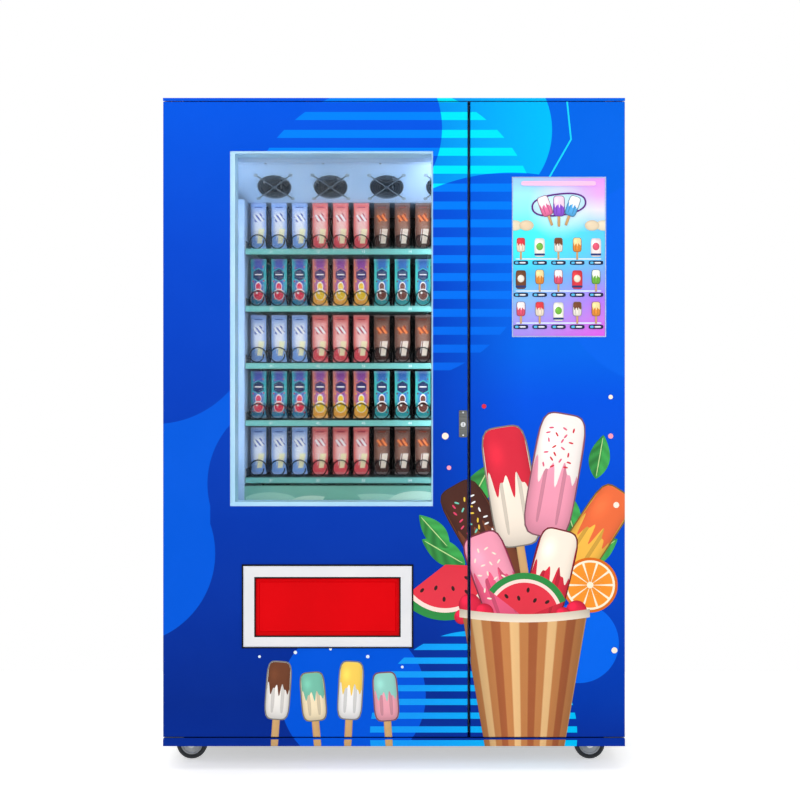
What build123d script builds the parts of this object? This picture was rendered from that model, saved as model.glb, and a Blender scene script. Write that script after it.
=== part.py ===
"""Two-door vending machine for frozen snacks: a glass door over five spiral trays, and a
service door with a display. X is to the right, Y to the back and Z up, in millimetres. The
origin is on the floor, at the middle of the machine's outline."""

from build123d import *
from math import cos, hypot, pi, sin
import os

os.makedirs("parts", exist_ok=True)

# Overall size of the closed machine on its wheels
width = 1340
depth = 850
height = 1950

# Sheets, fits and overruns shared by many pieces
case_sheet = 3
cover_sheet = 2
pin_fit = 0.1
running_gap = 0.3
overrun = 20

# Doors, seen from the front
frame_stand = 8
door_thick = 75
seal_gap = 12
door_gap = 8
right_door_width = 448.5
skin_sheet = 2
skin_round = 4
dike_inset = 15

# Levels from the floor up
skirt_low = 70
kick_height = 20
chassis_low = 122
chassis_rail = 30
cap_thick = 4
cap_bevel = 1.5

# Door pivots
hinge_plate = 4
hinge_width = 58
hinge_front = 20
pivot_inset = 15
pivot_setback = 37
pivot_radius = 6
pivot_pin = 28
bush_radius = 10
bush_length = 32
bush_flange = 1.7
flange_radius = 13

# Insulated box
wall_side = 67
wall_back = 67
wall_floor = 60
wall_top = 63
partition = 30
partition_setback = 2.5
mullion_width = 47
mullion_thick = 25

# Door seal
seal_inset = 20
seal_width = 20
seal_edge = 24
seal_drop = 42
seal_rise = 34

# Window of the left door
window_inset = 194.4
window_side = 100.5
window_top = 144
window_low = 766
pane = 4
pane_recess = 0.5
pane_gap = 0.3
rear_pane_setback = 12
lining_left = 14
lining_right = 3
lining_low = 12
lining_high = 6

# Pickup frame and flap
flap_shift = -11.2
flap_hole_width = 424
flap_hole_low = 387.7
flap_hole_height = 174
frame_side = 32
frame_high = 31
frame_low = 29
frame_bevel = 3
sleeve = 8
flap_recess = 5
flap_plate = 5
flap_panel = 3
flap_panel_inset = 12
flap_panel_bevel = 2.5
flap_side_gap = 1.2
flap_low_gap = 1.5
flap_high_gap = 2
trunnion_drop = 6
trunnion_radius = 4
trunnion_reach = 5.5
trunnion_fit = 0.08

# Lock on the free edge of the left door
lock_inset = 13
lock_level = 1003
lock_plate_width = 24
lock_plate_low = 37
lock_plate_high = 41
lock_plate_thick = 2
lock_plate_round = 3
barrel_radius = 7.2
barrel_stand = 2
cam_reach = 30
cam_width = 14
cam_thick = 3
cam_gap = 0.5
keeper_width = 24
keeper_height = 44
keeper_lip = 3
keeper_stem = 4
keeper_gap = 2

# Display of the right door
screen_inset = 120.5
screen_width = 272.8
screen_height = 464.3
screen_top = 219.1
screen_depth = 30
bezel_width = 3
bezel_stand = 2

# Trays
tray_pitch = 174.6
rack_drop = 150
lane_pitch = 64
drop_depth = 140
motor_gap = 5.5
tray_sheet = 1.5
tray_side = 25
tray_rear_wall = 62
tray_side_gap = 1
tray_lip = 19
divider_sheet = 1.2
divider_height = 38
divider_setback = 150
strip_height = 18.4
strip_thick = 3
motor_depth = 38
motor_width = 46
motor_height = 52
rail_flange = 18
rail_sheet = 2

# Spirals of the top tray
coil_turns = 6
coil_setback = 3.7
coil_radius = 23.5
wire_radius = 1.8
coil_lift = 0.5
coil_facets = 10
wire_sides = 4
coupler_width = 10
coupler_thick = 6
boss_radius = 6
boss_length = 14

# Packs standing in the lower trays
pack_width = 50
pack_waist = 42
pack_thick = 20
pack_edge = 2
pack_height = 146
pack_crimp = 9
pack_spine = 34
pack_setback = 83.7

# Covers inside the cold space
duct_width = 142
upright_low = 760
ceiling_drop = 98
ceiling_strip = 36
slope_run = 143
slope_drop = 95
cover_back_gap = 95

# Fans in the slope
fan_side = 233
fan_pitch = 171.8
fan_along = 101
fan_bore = 52
fan_frame = 119
fan_depth = 38
fan_corner = 52.5
motor_hub = 18
motor_cup = 10
fan_shaft = 3
strut_width = 8
strut_thick = 4
rotor_hub = 19
rotor_length = 22
rotor_setback = 4
blade_count = 5
blade_tip = 49
blade_thick = 1.6
blade_root_chord = 18
blade_tip_chord = 25
blade_tilt = 34
guard_thick = 2
guard_spoke = 3.5

# Cooling unit and electronics
evaporator_side = 97.5
evaporator_height = 140
evaporator_front_gap = 146
evaporator_back_gap = 115
condenser_width = 330
condenser_depth = 90
condenser_height = 300
fin_sheet = 2
fin_gap = 40
tube_width = 18
tube_height = 8
tube_rows = 2
compressor_radius = 78
compressor_height = 190
compressor_dome = 30
compressor_foot = 190
foot_thick = 5
stub_radius = 6
stub_length = 40
control_width = 120
control_depth = 280
control_height = 360
control_drop = 283
control_lid = 4
control_setback = 170
machine_clear = 60

# Rear grille
grille_inset = 30
grille_low = 190
grille_height = 620
grille_lap = 12
grille_sheet = 2
louvre_stand = 10
louvre_height = 18
louvre_pitch = 60
louvre_side = 30
louvre_middle = 24
inlet_width = 60
inlet_height = 44
inlet_level = 130
inlet_inset = 70
inlet_mouth = 6

# Delivery bin under the trays
bin_floor = 372
bin_front_lip = 12
bin_depth = 176
bin_front_gap = 4
bin_top = 812
bin_fold = 760
bin_setback = 2
bin_side_top = 640

# Casters
wheel_radius = 46
wheel_width = 30
tyre_depth = 13
tyre_bevel = 5
hub_width = 22
hub_boss = 11
axle_radius = 5
caster_trail = 28
caster_left_inset = 92
caster_right_inset = 113
caster_front_inset = 60
caster_rear_inset = 112
plate_length = 100
plate_breadth = 85
plate_thick = 5
kingpin_radius = 8
kingpin_head = 12
kingpin_head_thick = 3
crown_low = 97
crown_thick = 7
crown_radius = 26
race_radius = 24
fork_sheet = 3
fork_end = 12
fork_gap = 2
bolt_head = 8
bolt_head_thick = 5
chassis_ring = 40
deck_sheet = 3

# Places worked out from the sizes
left, right = -width / 2, width / 2
front, rear = -depth / 2, depth / 2
door_front = front + frame_stand
door_back = door_front + door_thick
case_front = door_back + seal_gap
case_rear = rear - louvre_stand
case_top = height - cap_thick
kick_high = skirt_low + kick_height
door_low = kick_high + hinge_plate + running_gap + bush_flange
door_high = case_top - hinge_plate - running_gap - bush_flange
door_split = right - right_door_width - door_gap / 2
chassis_high = chassis_low + chassis_rail

cold_left = left + case_sheet
inner_left = cold_left + wall_side
inner_right = door_split - partition_setback
cold_right = inner_right + partition
mouth_right = inner_right - mullion_width
cold_back = case_rear - case_sheet
inner_back = cold_back - wall_back
inner_floor = chassis_high + wall_floor
cold_top = case_top - case_sheet
inner_top = cold_top - wall_top

left_door = (left, door_split - door_gap / 2, door_low, door_high)
right_door = (door_split + door_gap / 2, right, door_low, door_high)
window = (left + window_inset, left_door[1] - window_side, window_low, door_high - window_top)
flap_hole_left = (window[0] + window[1] - flap_hole_width) / 2 + flap_shift
flap_hole = (
    flap_hole_left,
    flap_hole_left + flap_hole_width,
    flap_hole_low,
    flap_hole_low + flap_hole_height,
)
screen_left = right_door[0] + screen_inset
screen_high = door_high - screen_top
screen = (screen_left, screen_left + screen_width, screen_high - screen_height, screen_high)
pivot_y = door_front + pivot_setback
pivots = (left + pivot_inset, right - pivot_inset)
trunnion_level = flap_hole[3] - flap_high_gap - trunnion_drop
flap_front = front + flap_recess
flap_back = flap_front + flap_panel + flap_plate
trunnion_y = flap_back - flap_plate / 2
lock_x = left_door[1] - lock_inset

cover_front = case_front + mullion_thick
slope_top = cover_front + ceiling_strip
ceiling_level = inner_top - ceiling_drop
slope_level = ceiling_level - slope_drop
slope_length = hypot(slope_run, slope_drop)
slope_down = Vector(0, slope_run / slope_length, -slope_drop / slope_length)
slope_out = Vector(0, -slope_drop / slope_length, -slope_run / slope_length)
fan_first = inner_left + fan_side
fan_count = int((inner_right - fan_frame / 2 - fan_first) // fan_pitch) + 1
fan_centres = [fan_first + k * fan_pitch for k in range(fan_count)]

duct_right = inner_left + duct_width
tray_front = case_front + drop_depth
tray_back = inner_back - motor_gap - motor_depth - tray_sheet
tray_left = duct_right + rail_sheet + tray_side_gap
lane_count = int((mouth_right - tray_left) // lane_pitch)
tray_right = tray_left + lane_count * lane_pitch
upright_x = tray_right + tray_side_gap + rail_sheet
top_floor = slope_level - rack_drop
tray_count = int((top_floor - bin_top) // tray_pitch) + 1
tray_floors = [top_floor - k * tray_pitch for k in range(tray_count)]
lane_centres = [tray_left + (k + 0.5) * lane_pitch for k in range(lane_count)]
coil_outer = coil_radius + wire_radius
coil_back = tray_back - running_gap - coupler_thick
coil_pitch = (coil_back - tray_front - coil_setback) / coil_turns

caster_left = left + caster_left_inset
caster_right = right - caster_right_inset
caster_front = case_front + caster_front_inset
caster_rear = cold_back - caster_rear_inset


def block(x0, x1, y0, y1, z0, z1):
    """A box between three pairs of places."""
    return Pos(x0, y0, z0) * Box(x1 - x0, y1 - y0, z1 - z0, align=(Align.MIN,) * 3)


def plate(area, y0, y1):
    """A sheet with a front outline (x0, x1, z0, z1), from y0 back to y1."""
    x0, x1, z0, z1 = area
    return block(x0, x1, y0, y1, z0, z1)


def grow(area, by):
    """The same outline, wider by one margin on every side."""
    x0, x1, z0, z1 = area
    return (x0 - by, x1 + by, z0 - by, z1 + by)


def rod(radius, start, end):
    """A round bar from one point to another."""
    a, b = Vector(*start), Vector(*end)
    along = Align.CENTER, Align.CENTER, Align.MIN
    return Plane(a, z_dir=b - a) * Cylinder(radius, (b - a).length, align=along)


def folded(points, thick):
    """The outline of a folded sheet: the points, and back along them on their left, mitred."""
    ways = []
    for (a, b), (c, d) in zip(points, points[1:]):
        run = hypot(c - a, d - b)
        ways.append((-(d - b) / run, (c - a) / run))
    inner = []
    for k, (a, b) in enumerate(points):
        m, n = ways[max(k - 1, 0)], ways[min(k, len(ways) - 1)]
        share = thick / (1 + m[0] * n[0] + m[1] * n[1])
        inner.append((a + (m[0] + n[0]) * share, b + (m[1] + n[1]) * share))
    return list(points) + inner[::-1]


def along_x(outline, x0, x1):
    """A (y, z) outline drawn out from x0 to x1."""
    face = Plane.YZ * make_face(Polyline(*outline, close=True))
    return Pos(x0, 0, 0) * extrude(face, amount=x1 - x0)


def save(name, *pieces):
    """Writes one node, each piece as its own solid."""
    solids = [s for piece in pieces for s in piece.solids()]
    export_step(Compound(solids), f"parts/{name}.step")


# Case
def cabinet_shell():
    """The folded outer case, open in front and below, with a frame round the right bay."""
    outer = block(left, right, case_front, case_rear, skirt_low, case_top)
    inner = block(
        cold_left,
        right - case_sheet,
        case_front - overrun,
        cold_back,
        skirt_low - overrun,
        cold_top,
    )
    shell = outer - inner
    back_of_lip = case_front + case_sheet
    inside = right - case_sheet
    apron_low = kick_high - case_sheet
    shell += block(left, right, case_front, back_of_lip, apron_low, chassis_high)
    flange = right_door[0] + mullion_width
    shell += block(flange, right, case_front, back_of_lip, cold_top - mullion_width / 2, cold_top)
    edge = inside - mullion_width / 2
    shell += block(edge, inside, case_front, back_of_lip, chassis_high, cold_top)
    return shell - plate(grille_hole(), cold_back - overrun, case_rear + overrun)


def grille_hole():
    """The outline of the hole in the back of the case, behind the right bay."""
    return (
        cold_right + grille_inset,
        right - case_sheet - grille_inset,
        grille_low,
        grille_low + grille_height,
    )


def rear_grille():
    """The louvred cover over that hole: each louvre is a slot under a sloping hood."""
    area = grow(grille_hole(), grille_lap)
    cover = plate(area, case_rear, case_rear + grille_sheet)
    hole = grille_hole()
    half = (hole[1] - hole[0] - louvre_middle) / 2 - louvre_side
    hood = [
        (case_rear + grille_sheet, louvre_height),
        (rear - grille_sheet, 0),
        (rear, 0),
        (rear, grille_sheet),
        (case_rear + grille_sheet, louvre_height + grille_sheet),
    ]
    rows = int((hole[3] - hole[2]) // louvre_pitch) - 1
    for k in range(rows):
        level = hole[2] + (k + 1) * louvre_pitch
        for x in (hole[0] + louvre_side, hole[1] - louvre_side - half):
            slot = (x, x + half, level, level + louvre_height)
            cover -= plate(slot, case_rear - overrun, rear + overrun)
            cover += Pos(0, 0, level) * along_x(hood, x, x + half)
    return cover


def roof_cap():
    """The top sheet, which reaches forward over both doors."""
    cap = block(left, right, door_front, case_rear, case_top, height)
    return chamfer(cap.faces().sort_by(Axis.Z)[-1].edges(), cap_bevel)


def kick_strip():
    """The folded strip under the doors."""
    outer = block(left, right, door_front, case_front, skirt_low, kick_high)
    return outer - block(
        cold_left,
        right - case_sheet,
        door_front + case_sheet,
        case_front + overrun,
        skirt_low - overrun,
        kick_high - case_sheet,
    )


def base_frame():
    """The welded chassis: a ring of rail, two rails over the casters and a deck."""
    x0, x1 = cold_left, right - case_sheet
    y0, y1 = case_front + case_sheet, cold_back
    deck_low = chassis_high - deck_sheet
    frame = block(x0, x1, y0, y1, chassis_low, deck_low)
    frame -= block(
        x0 + chassis_ring,
        x1 - chassis_ring,
        y0 + chassis_ring,
        y1 - chassis_ring,
        chassis_low - overrun,
        deck_low + overrun,
    )
    for x in (caster_left, caster_right):
        half = plate_length / 2
        frame += block(x - half, x + half, y0, y1, chassis_low, deck_low)
    return frame + block(x0, x1, y0, y1, deck_low, chassis_high)


def cold_box():
    """The insulated box, with a mullion that narrows its mouth on the right."""
    box = block(cold_left, cold_right, case_front, cold_back, chassis_high, cold_top)
    behind = case_front + mullion_thick
    box -= block(inner_left, inner_right, behind, inner_back, inner_floor, inner_top)
    mouth = (inner_left, mouth_right, inner_floor, inner_top)
    return box - plate(mouth, case_front - overrun, behind + overrun)


# Doors
def pivot_bushes(x):
    """The two flanged bushes that a door turns on."""
    reach = bush_length
    bushes = []
    for z, way in ((door_low, 1), (door_high, -1)):
        bush = rod(bush_radius, (x, pivot_y, z), (x, pivot_y, z + way * reach))
        bush += rod(flange_radius, (x, pivot_y, z), (x, pivot_y, z - way * bush_flange))
        start = z - way * (bush_flange + overrun)
        bush -= rod(pivot_radius + pin_fit, (x, pivot_y, start), (x, pivot_y, z + way * reach))
        bushes.append(bush)
    return bushes


def pivot_bores(x):
    """The holes that the bushes sit in."""
    bores = []
    for z, way in ((door_low, 1), (door_high, -1)):
        start, end = z - way * overrun, z + way * bush_length
        bores.append(rod(bush_radius, (x, pivot_y, start), (x, pivot_y, end)))
    return bores


def door_skin(area, holes, x):
    """A folded outer sheet with its front edges rounded and its holes cut."""
    skin = plate(area, door_front, door_back)
    skin = fillet(skin.faces().sort_by(Axis.Y)[0].edges(), skin_round)
    inside = grow(area, -skin_sheet)
    skin -= plate(inside, door_front + skin_sheet, door_back + overrun)
    for hole in holes:
        skin -= plate(hole, door_front - overrun, door_back)
    for bore in pivot_bores(x):
        skin -= bore
    return skin


def sleeve_area():
    return grow(flap_hole, sleeve)


def lock_bore(radius):
    return rod(radius, (lock_x, front - overrun, lock_level), (lock_x, case_front, lock_level))


def left_door_skin():
    skin = door_skin(left_door, (window, sleeve_area()), pivots[0])
    return skin - lock_bore(barrel_radius + pin_fit)


def left_door_core():
    """The foamed body of the door, with the step that enters the mouth of the cold box."""
    core = plate(grow(left_door, -skin_sheet), door_front + skin_sheet, door_back)
    mouth = (inner_left, mouth_right, inner_floor, inner_top)
    core += plate(grow(mouth, -dike_inset), door_back, case_front)
    core -= plate(window, door_front, case_front + overrun)
    core -= plate(sleeve_area(), door_front, case_front + overrun)
    core -= lock_bore(barrel_radius + pin_fit)
    for bore in pivot_bores(pivots[0]):
        core -= bore
    return core


def door_seal():
    """The soft ring between the left door and the cold box."""
    low, high = inner_floor - seal_drop, inner_top + seal_rise
    area = (left + seal_inset, left_door[1] - seal_edge, low, high)
    ring = plate(area, door_back, case_front - running_gap)
    return ring - plate(grow(area, -seal_width), door_back - overrun, case_front)


def lining_area():
    """The clear opening inside the window's pale frame."""
    x0, x1, z0, z1 = window
    return (x0 + lining_left, x1 - lining_right, z0 + lining_low, z1 - lining_high)


def window_frame():
    back_of_pane = door_front + pane_recess + pane
    ring = plate(window, back_of_pane, case_front)
    return ring - plate(lining_area(), back_of_pane - overrun, case_front + overrun)


def window_glass():
    """The outer pane in the skin's hole, and the inner pane inside the frame."""
    outer_front = door_front + pane_recess
    outer = plate(grow(window, -pane_gap), outer_front, outer_front + pane)
    inner_face = door_back - rear_pane_setback
    inner = plate(grow(lining_area(), -pane_gap), inner_face, inner_face + pane)
    return outer, inner


def pickup_frame():
    """The white bezel round the flap, with its sleeve through the door."""
    x0, x1, z0, z1 = flap_hole
    outline = (x0 - frame_side, x1 + frame_side, z0 - frame_low, z1 + frame_high)
    bezel = plate(outline, front, door_front)
    bezel = chamfer(bezel.faces().sort_by(Axis.Y)[0].edges(), frame_bevel)
    bezel += plate(sleeve_area(), door_front, case_front)
    bezel -= plate(flap_hole, front - overrun, case_front + overrun)
    reach = flap_side_gap + trunnion_reach + flap_side_gap
    start = (x0 - reach + flap_side_gap, trunnion_y, trunnion_level)
    end = (x1 + reach - flap_side_gap, trunnion_y, trunnion_level)
    return bezel - rod(trunnion_radius + trunnion_fit, start, end)


def pickup_flap():
    """The flap that swings inwards on two trunnions at its upper edge."""
    x0, x1, z0, z1 = flap_hole
    area = (x0 + flap_side_gap, x1 - flap_side_gap, z0 + flap_low_gap, z1 - flap_high_gap)
    flap = plate(area, flap_back - flap_plate, flap_back)
    panel = plate(grow(area, -flap_panel_inset), flap_front, flap_back - flap_plate)
    panel = chamfer(panel.faces().sort_by(Axis.Y)[0].edges(), flap_panel_bevel)
    start = (x0 - trunnion_reach, trunnion_y, trunnion_level)
    end = (x1 + trunnion_reach, trunnion_y, trunnion_level)
    return flap + panel + rod(trunnion_radius, start, end)


def lock_plate():
    half = lock_plate_width / 2
    area = (
        lock_x - half,
        lock_x + half,
        lock_level - lock_plate_low,
        lock_level + lock_plate_high,
    )
    cover = plate(area, door_front - lock_plate_thick, door_front)
    cover = fillet(cover.edges().filter_by(Axis.Y), lock_plate_round)
    return cover - lock_bore(barrel_radius + pin_fit)


def lock_barrel():
    """The turning barrel, and the cam on its end, shown unlocked with the cam down."""
    cam_front = door_back + keeper_lip + 2 * cam_gap
    start = door_front - lock_plate_thick - barrel_stand
    barrel = rod(barrel_radius, (lock_x, start, lock_level), (lock_x, cam_front, lock_level))
    half = cam_width / 2
    cam = (lock_x - half, lock_x + half, lock_level - cam_reach, lock_level + half)
    return barrel, plate(cam, cam_front, cam_front + cam_thick)


def lock_keeper():
    """The bracket on the mullion that the cam turns behind."""
    x0 = left_door[1] + cam_gap + keeper_gap
    x1 = x0 + keeper_width
    z0, z1 = lock_level - keeper_height / 2, lock_level + keeper_height / 2
    lip_front = door_back + cam_gap
    keeper = block(x0, x1, lip_front, lip_front + keeper_lip, z0, z1)
    stem_x = lock_x + cam_reach + keeper_gap
    keeper += block(stem_x, stem_x + keeper_stem, lip_front, case_front, z0, z1)
    foot = case_front - cover_sheet
    return keeper + block(x0 + keeper_stem, x1 + keeper_stem, foot, case_front, z0, z1)


def door_hinges():
    """Four plates with pins: two on the kick strip and two under the roof cap."""
    hinges = []
    for x, way in ((left, 1), (right, -1)):
        pin_x = x + way * pivot_inset
        x0, x1 = sorted((x, x + way * hinge_width))
        for z, up in ((kick_high, 1), (case_top, -1)):
            z0, z1 = sorted((z, z + up * hinge_plate))
            leaf = block(x0, x1, pivot_y - hinge_front, case_front, z0, z1)
            face = z + up * hinge_plate
            tip = face + up * pivot_pin
            hinges.append(leaf + rod(pivot_radius, (pin_x, pivot_y, face), (pin_x, pivot_y, tip)))
    return hinges


def right_door_skin():
    return door_skin(right_door, (screen,), pivots[1])


def right_door_core():
    core = plate(grow(right_door, -skin_sheet), door_front + skin_sheet, door_back)
    core -= plate(screen, door_front, door_front + screen_depth)
    for bore in pivot_bores(pivots[1]):
        core -= bore
    return core


def screen_bezel():
    ring = plate(screen, door_front - bezel_stand, door_front + screen_depth)
    clear = grow(screen, -bezel_width)
    return ring - plate(clear, front - overrun, door_front + screen_depth + overrun)


def screen_panel():
    return plate(grow(screen, -bezel_width), door_front, door_front + screen_depth)


# Inside the cold space
def fan_cover():
    """The folded sheet over the trays, with a sloping face for the fans."""
    points = [
        (cover_front, inner_top),
        (cover_front, ceiling_level),
        (slope_top, ceiling_level),
        (slope_top + slope_run, slope_level),
        (inner_back - cover_back_gap, slope_level),
    ]
    cover = along_x(folded(points, cover_sheet), inner_left, inner_right)
    for x in fan_centres:
        centre = fan_point(x)
        reach = slope_out * overrun
        cover -= rod(fan_bore, tuple(centre - reach), tuple(centre + reach))
    return cover


def fan_point(x):
    """A fan's centre on the front face of the slope."""
    return Vector(x, slope_top, ceiling_level) + slope_down * fan_along


def fan_plane(x):
    return Plane(fan_point(x), x_dir=(1, 0, 0), z_dir=slope_out)


def side_duct():
    """The white air duct on the left wall."""
    points = [
        (inner_left, tray_front),
        (duct_right, tray_front),
        (duct_right, inner_back),
    ]
    outline = folded(points, cover_sheet)
    face = make_face(Polyline(*outline, close=True))
    return Pos(0, 0, inner_floor) * extrude(face, amount=slope_level - inner_floor)


def fan_body():
    """One square fan frame with its struts, motor cup and shaft, behind the cover."""
    low = -cover_sheet - fan_depth
    at = Align.CENTER, Align.CENTER, Align.MIN
    frame = Pos(0, 0, low) * Box(fan_frame, fan_frame, fan_depth, align=at)
    frame -= Pos(0, 0, low - overrun) * Cylinder(fan_bore, fan_depth + 2 * overrun, align=at)
    for turn in (45, 135):
        strut = Box(2 * fan_bore + strut_width, strut_width, strut_thick, align=at)
        frame += Pos(0, 0, low) * Rot(0, 0, turn) * strut
    frame += Pos(0, 0, low) * Cylinder(motor_hub, motor_cup, align=at)
    shaft = fan_depth - motor_cup - rotor_setback
    return frame + Pos(0, 0, low + motor_cup) * Cylinder(fan_shaft, shaft, align=at)


def fan_rotor():
    """A hub on the shaft with pitched blades, each widening from its root to its tip."""
    at = Align.CENTER, Align.CENTER, Align.MIN
    low = -cover_sheet - fan_depth + motor_cup + running_gap
    hub = Pos(0, 0, low) * Cylinder(rotor_hub, rotor_length, align=at)
    middle = low + rotor_length / 2
    root_x = rotor_hub - blade_thick
    sections = []
    for x, chord in ((root_x, blade_root_chord), (blade_tip, blade_tip_chord)):
        section = Rot(0, 0, blade_tilt) * Rectangle(chord, blade_thick)
        sections.append(Plane((x, 0, middle), x_dir=(0, 1, 0), z_dir=(1, 0, 0)) * section)
    blade = loft([s.faces()[0] for s in sections], ruled=True)
    rotor = hub
    for k in range(blade_count):
        rotor += Rot(0, 0, k * 360 / blade_count) * blade
    bore = Cylinder(fan_shaft + pin_fit, rotor_length + 2 * overrun, align=at)
    return rotor - Pos(0, 0, low - overrun) * bore


def fan_guard():
    """The finger guard: two crossed spokes, screwed down at the fan's four corners."""
    at = Align.CENTER, Align.CENTER, Align.MIN
    reach = 2 * hypot(fan_corner, fan_corner) + 2 * guard_spoke
    spokes = [
        Rot(0, 0, turn) * Box(reach, guard_spoke, guard_thick, align=at) for turn in (45, 135)
    ]
    return spokes[0] + spokes[1]


def fin_block(x0, y0, z0, size):
    """A tube-and-fin exchanger: upright fins on level flat tubes, all one soldered piece."""
    wide, deep, high = size
    count = int(wide // fin_gap) + 1
    fins = [
        block(x, x + fin_sheet, y0, y0 + deep, z0, z0 + high)
        for x in (x0 + k * (wide - fin_sheet) / (count - 1) for k in range(count))
    ]
    tubes = []
    y = y0 + (deep - tube_width) / 2
    for k in range(tube_rows):
        z = z0 + (k + 0.5) * high / tube_rows
        tubes.append(block(x0, x0 + wide, y, y + tube_width, z, z + tube_height))
    return tubes[0].fuse(*tubes[1:], *fins)


def evaporator():
    x0, x1 = inner_left + evaporator_side, inner_right - evaporator_side
    y0 = slope_top + slope_run + evaporator_front_gap
    y1 = inner_back - evaporator_back_gap
    return fin_block(x0, y0, slope_level + cover_sheet, (x1 - x0, y1 - y0, evaporator_height))


def tray_rails():
    """The right-hand upright sheet and the ten angles that carry the trays."""
    upright = block(
        upright_x, upright_x + cover_sheet, tray_front, inner_back, upright_low, slope_level
    )
    pieces = [upright]
    for floor in tray_floors:
        z1 = floor - tray_sheet - running_gap
        z0 = z1 - rail_sheet
        for x, way in ((duct_right, 1), (upright_x, -1)):
            a0, a1 = sorted((x, x + way * rail_sheet))
            f0, f1 = sorted((x, x + way * rail_flange))
            y0 = tray_front + tray_lip
            web = block(a0, a1, y0, inner_back, z0, floor + tray_side)
            pieces.append(web + block(f0, f1, y0, inner_back, z0, z1))
    return pieces


def tray(floor):
    """A folded tray with a turned-down front lip, side walls, lane dividers and a rear wall with
    its gear motors. The top tray has the spirals, so it has the holes for their bosses too."""
    low = floor - tray_sheet
    back = tray_back + tray_sheet
    sheet = block(tray_left, tray_right, tray_front, back, low, floor)
    sheet += block(
        tray_left, tray_right, tray_front, tray_front + tray_sheet, floor - tray_lip, floor
    )
    sheet += block(tray_left, tray_right, tray_back, back, low, floor + tray_rear_wall)
    side = floor + tray_side
    sheet += block(tray_left, tray_left + tray_sheet, tray_front + tray_lip, back, low, side)
    sheet += block(tray_right - tray_sheet, tray_right, tray_front + tray_lip, back, low, side)
    for k in range(1, lane_count):
        x = tray_left + k * lane_pitch - divider_sheet / 2
        y = tray_front + divider_setback
        sheet += block(x, x + divider_sheet, y, back, low, floor + divider_height)
    for motor in tray_motors(floor):
        sheet += motor
    if floor == top_floor:
        for x in lane_centres:
            sheet -= boss_bore(x, floor)
    return sheet


def coil_level(floor):
    return floor + coil_lift + coil_outer


def boss_bore(x, floor):
    z = coil_level(floor)
    end = tray_back + tray_sheet + boss_length
    return rod(boss_radius + pin_fit, (x, tray_back - overrun, z), (x, end, z))


def tray_motors(floor):
    """A gear motor behind the rear wall for each lane."""
    motors = []
    y0 = tray_back + tray_sheet
    z = coil_level(floor)
    half, rise = motor_width / 2, motor_height / 2
    for x in lane_centres:
        z0 = max(z - rise, floor)
        motors.append(block(x - half, x + half, y0, y0 + motor_depth, z0, z0 + motor_height))
    return motors


def price_strip(floor):
    z1 = floor - (tray_lip - strip_height)
    z0 = z1 - strip_height
    return block(tray_left, tray_right, tray_front - strip_thick, tray_front, z0, z1)


def coil_point(turn):
    """A point on the wire's line, by the number of turns from the back end."""
    angle = 2 * pi * turn
    y = coil_back - coil_pitch * turn
    return Vector(coil_radius * cos(angle), y, coil_radius * sin(angle))


def spiral():
    """One unbroken wire helix, drawn from one section to the next, on a coupler with a boss."""
    sections = []
    for k in range(coil_turns * coil_facets + 1):
        angle = 2 * pi * k / coil_facets
        rise = 2 * pi * coil_radius
        way = Vector(-rise * sin(angle), -coil_pitch, rise * cos(angle))
        outward = Vector(cos(angle), 0, sin(angle))
        place = Plane(coil_point(k / coil_facets), x_dir=outward, z_dir=way)
        sections.append((place * RegularPolygon(wire_radius, wire_sides)).faces()[0])
    wire = loft(sections, ruled=True)
    y1 = tray_back - running_gap
    y0 = y1 - coupler_thick
    half = coupler_width / 2
    arm = block(-coil_outer, coil_outer, y0 - wire_radius, y1, -half, half)
    boss = rod(boss_radius, (0, y1, 0), (0, y1 + boss_length, 0))
    return wire + arm + boss


def coil_self_gap():
    """The least gap between points of the wire more than half a turn apart."""
    steps = 48
    points = [coil_point(k / steps) for k in range(2 * steps)]
    apart = [
        (points[a] - points[b]).length
        for a in range(len(points))
        for b in range(a + steps // 2, len(points))
    ]
    return min(apart) - 2 * wire_radius


def pack():
    """A crimped bag: flat and wide at both ends, and narrower and swollen between them. It is
    what three outlines have in common: seen from the front, from the side and from above."""
    wide, waist, spine = pack_width / 2, pack_waist / 2, pack_spine / 2
    edge, full = pack_edge / 2, pack_thick / 2
    shoulder = pack_crimp + pack_thick

    def outline(ends, middle):
        side = [
            (ends, 0),
            (ends, pack_crimp),
            (middle, shoulder),
            (middle, pack_height - shoulder),
            (ends, pack_height - pack_crimp),
            (ends, pack_height),
        ]
        return make_face(Polyline(*side, *[(-a, z) for a, z in side[::-1]], close=True))

    front_view = extrude(Plane.XZ * outline(wide, waist), amount=full, both=True)
    side_view = extrude(Plane.YZ * outline(edge, full), amount=wide, both=True)
    above = [(wide, -edge), (wide, edge), (spine, full)]
    above = make_face(Polyline(*above, *[(-a, b) for a, b in above[::-1]],
                               *[(-a, -b) for a, b in above[2:]], (spine, -full), close=True))
    return front_view & side_view & extrude(above, amount=pack_height)


def delivery_bin():
    """The folded trough under the trays: lip, floor, leaning back and upright baffle."""
    y0 = case_front + bin_front_gap
    y1 = y0 + bin_depth
    face = tray_front + bin_setback
    points = [
        (y0, bin_floor + bin_front_lip),
        (y0, bin_floor),
        (y1, bin_floor),
        (face, bin_fold),
        (face, bin_top),
    ]
    x0, x1 = duct_right, upright_x
    trough = along_x(folded(points, cover_sheet), x0, x1)
    for x in (x0, x1 - cover_sheet):
        trough += block(x, x + cover_sheet, y0, y1, inner_floor, bin_side_top)
    return trough


# Right bay
def condenser():
    x0 = (cold_right + right - case_sheet - condenser_width) / 2
    y0 = cold_back - condenser_depth - machine_clear
    return fin_block(
        x0, y0, chassis_high, (condenser_width, condenser_depth, condenser_height)
    )


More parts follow.
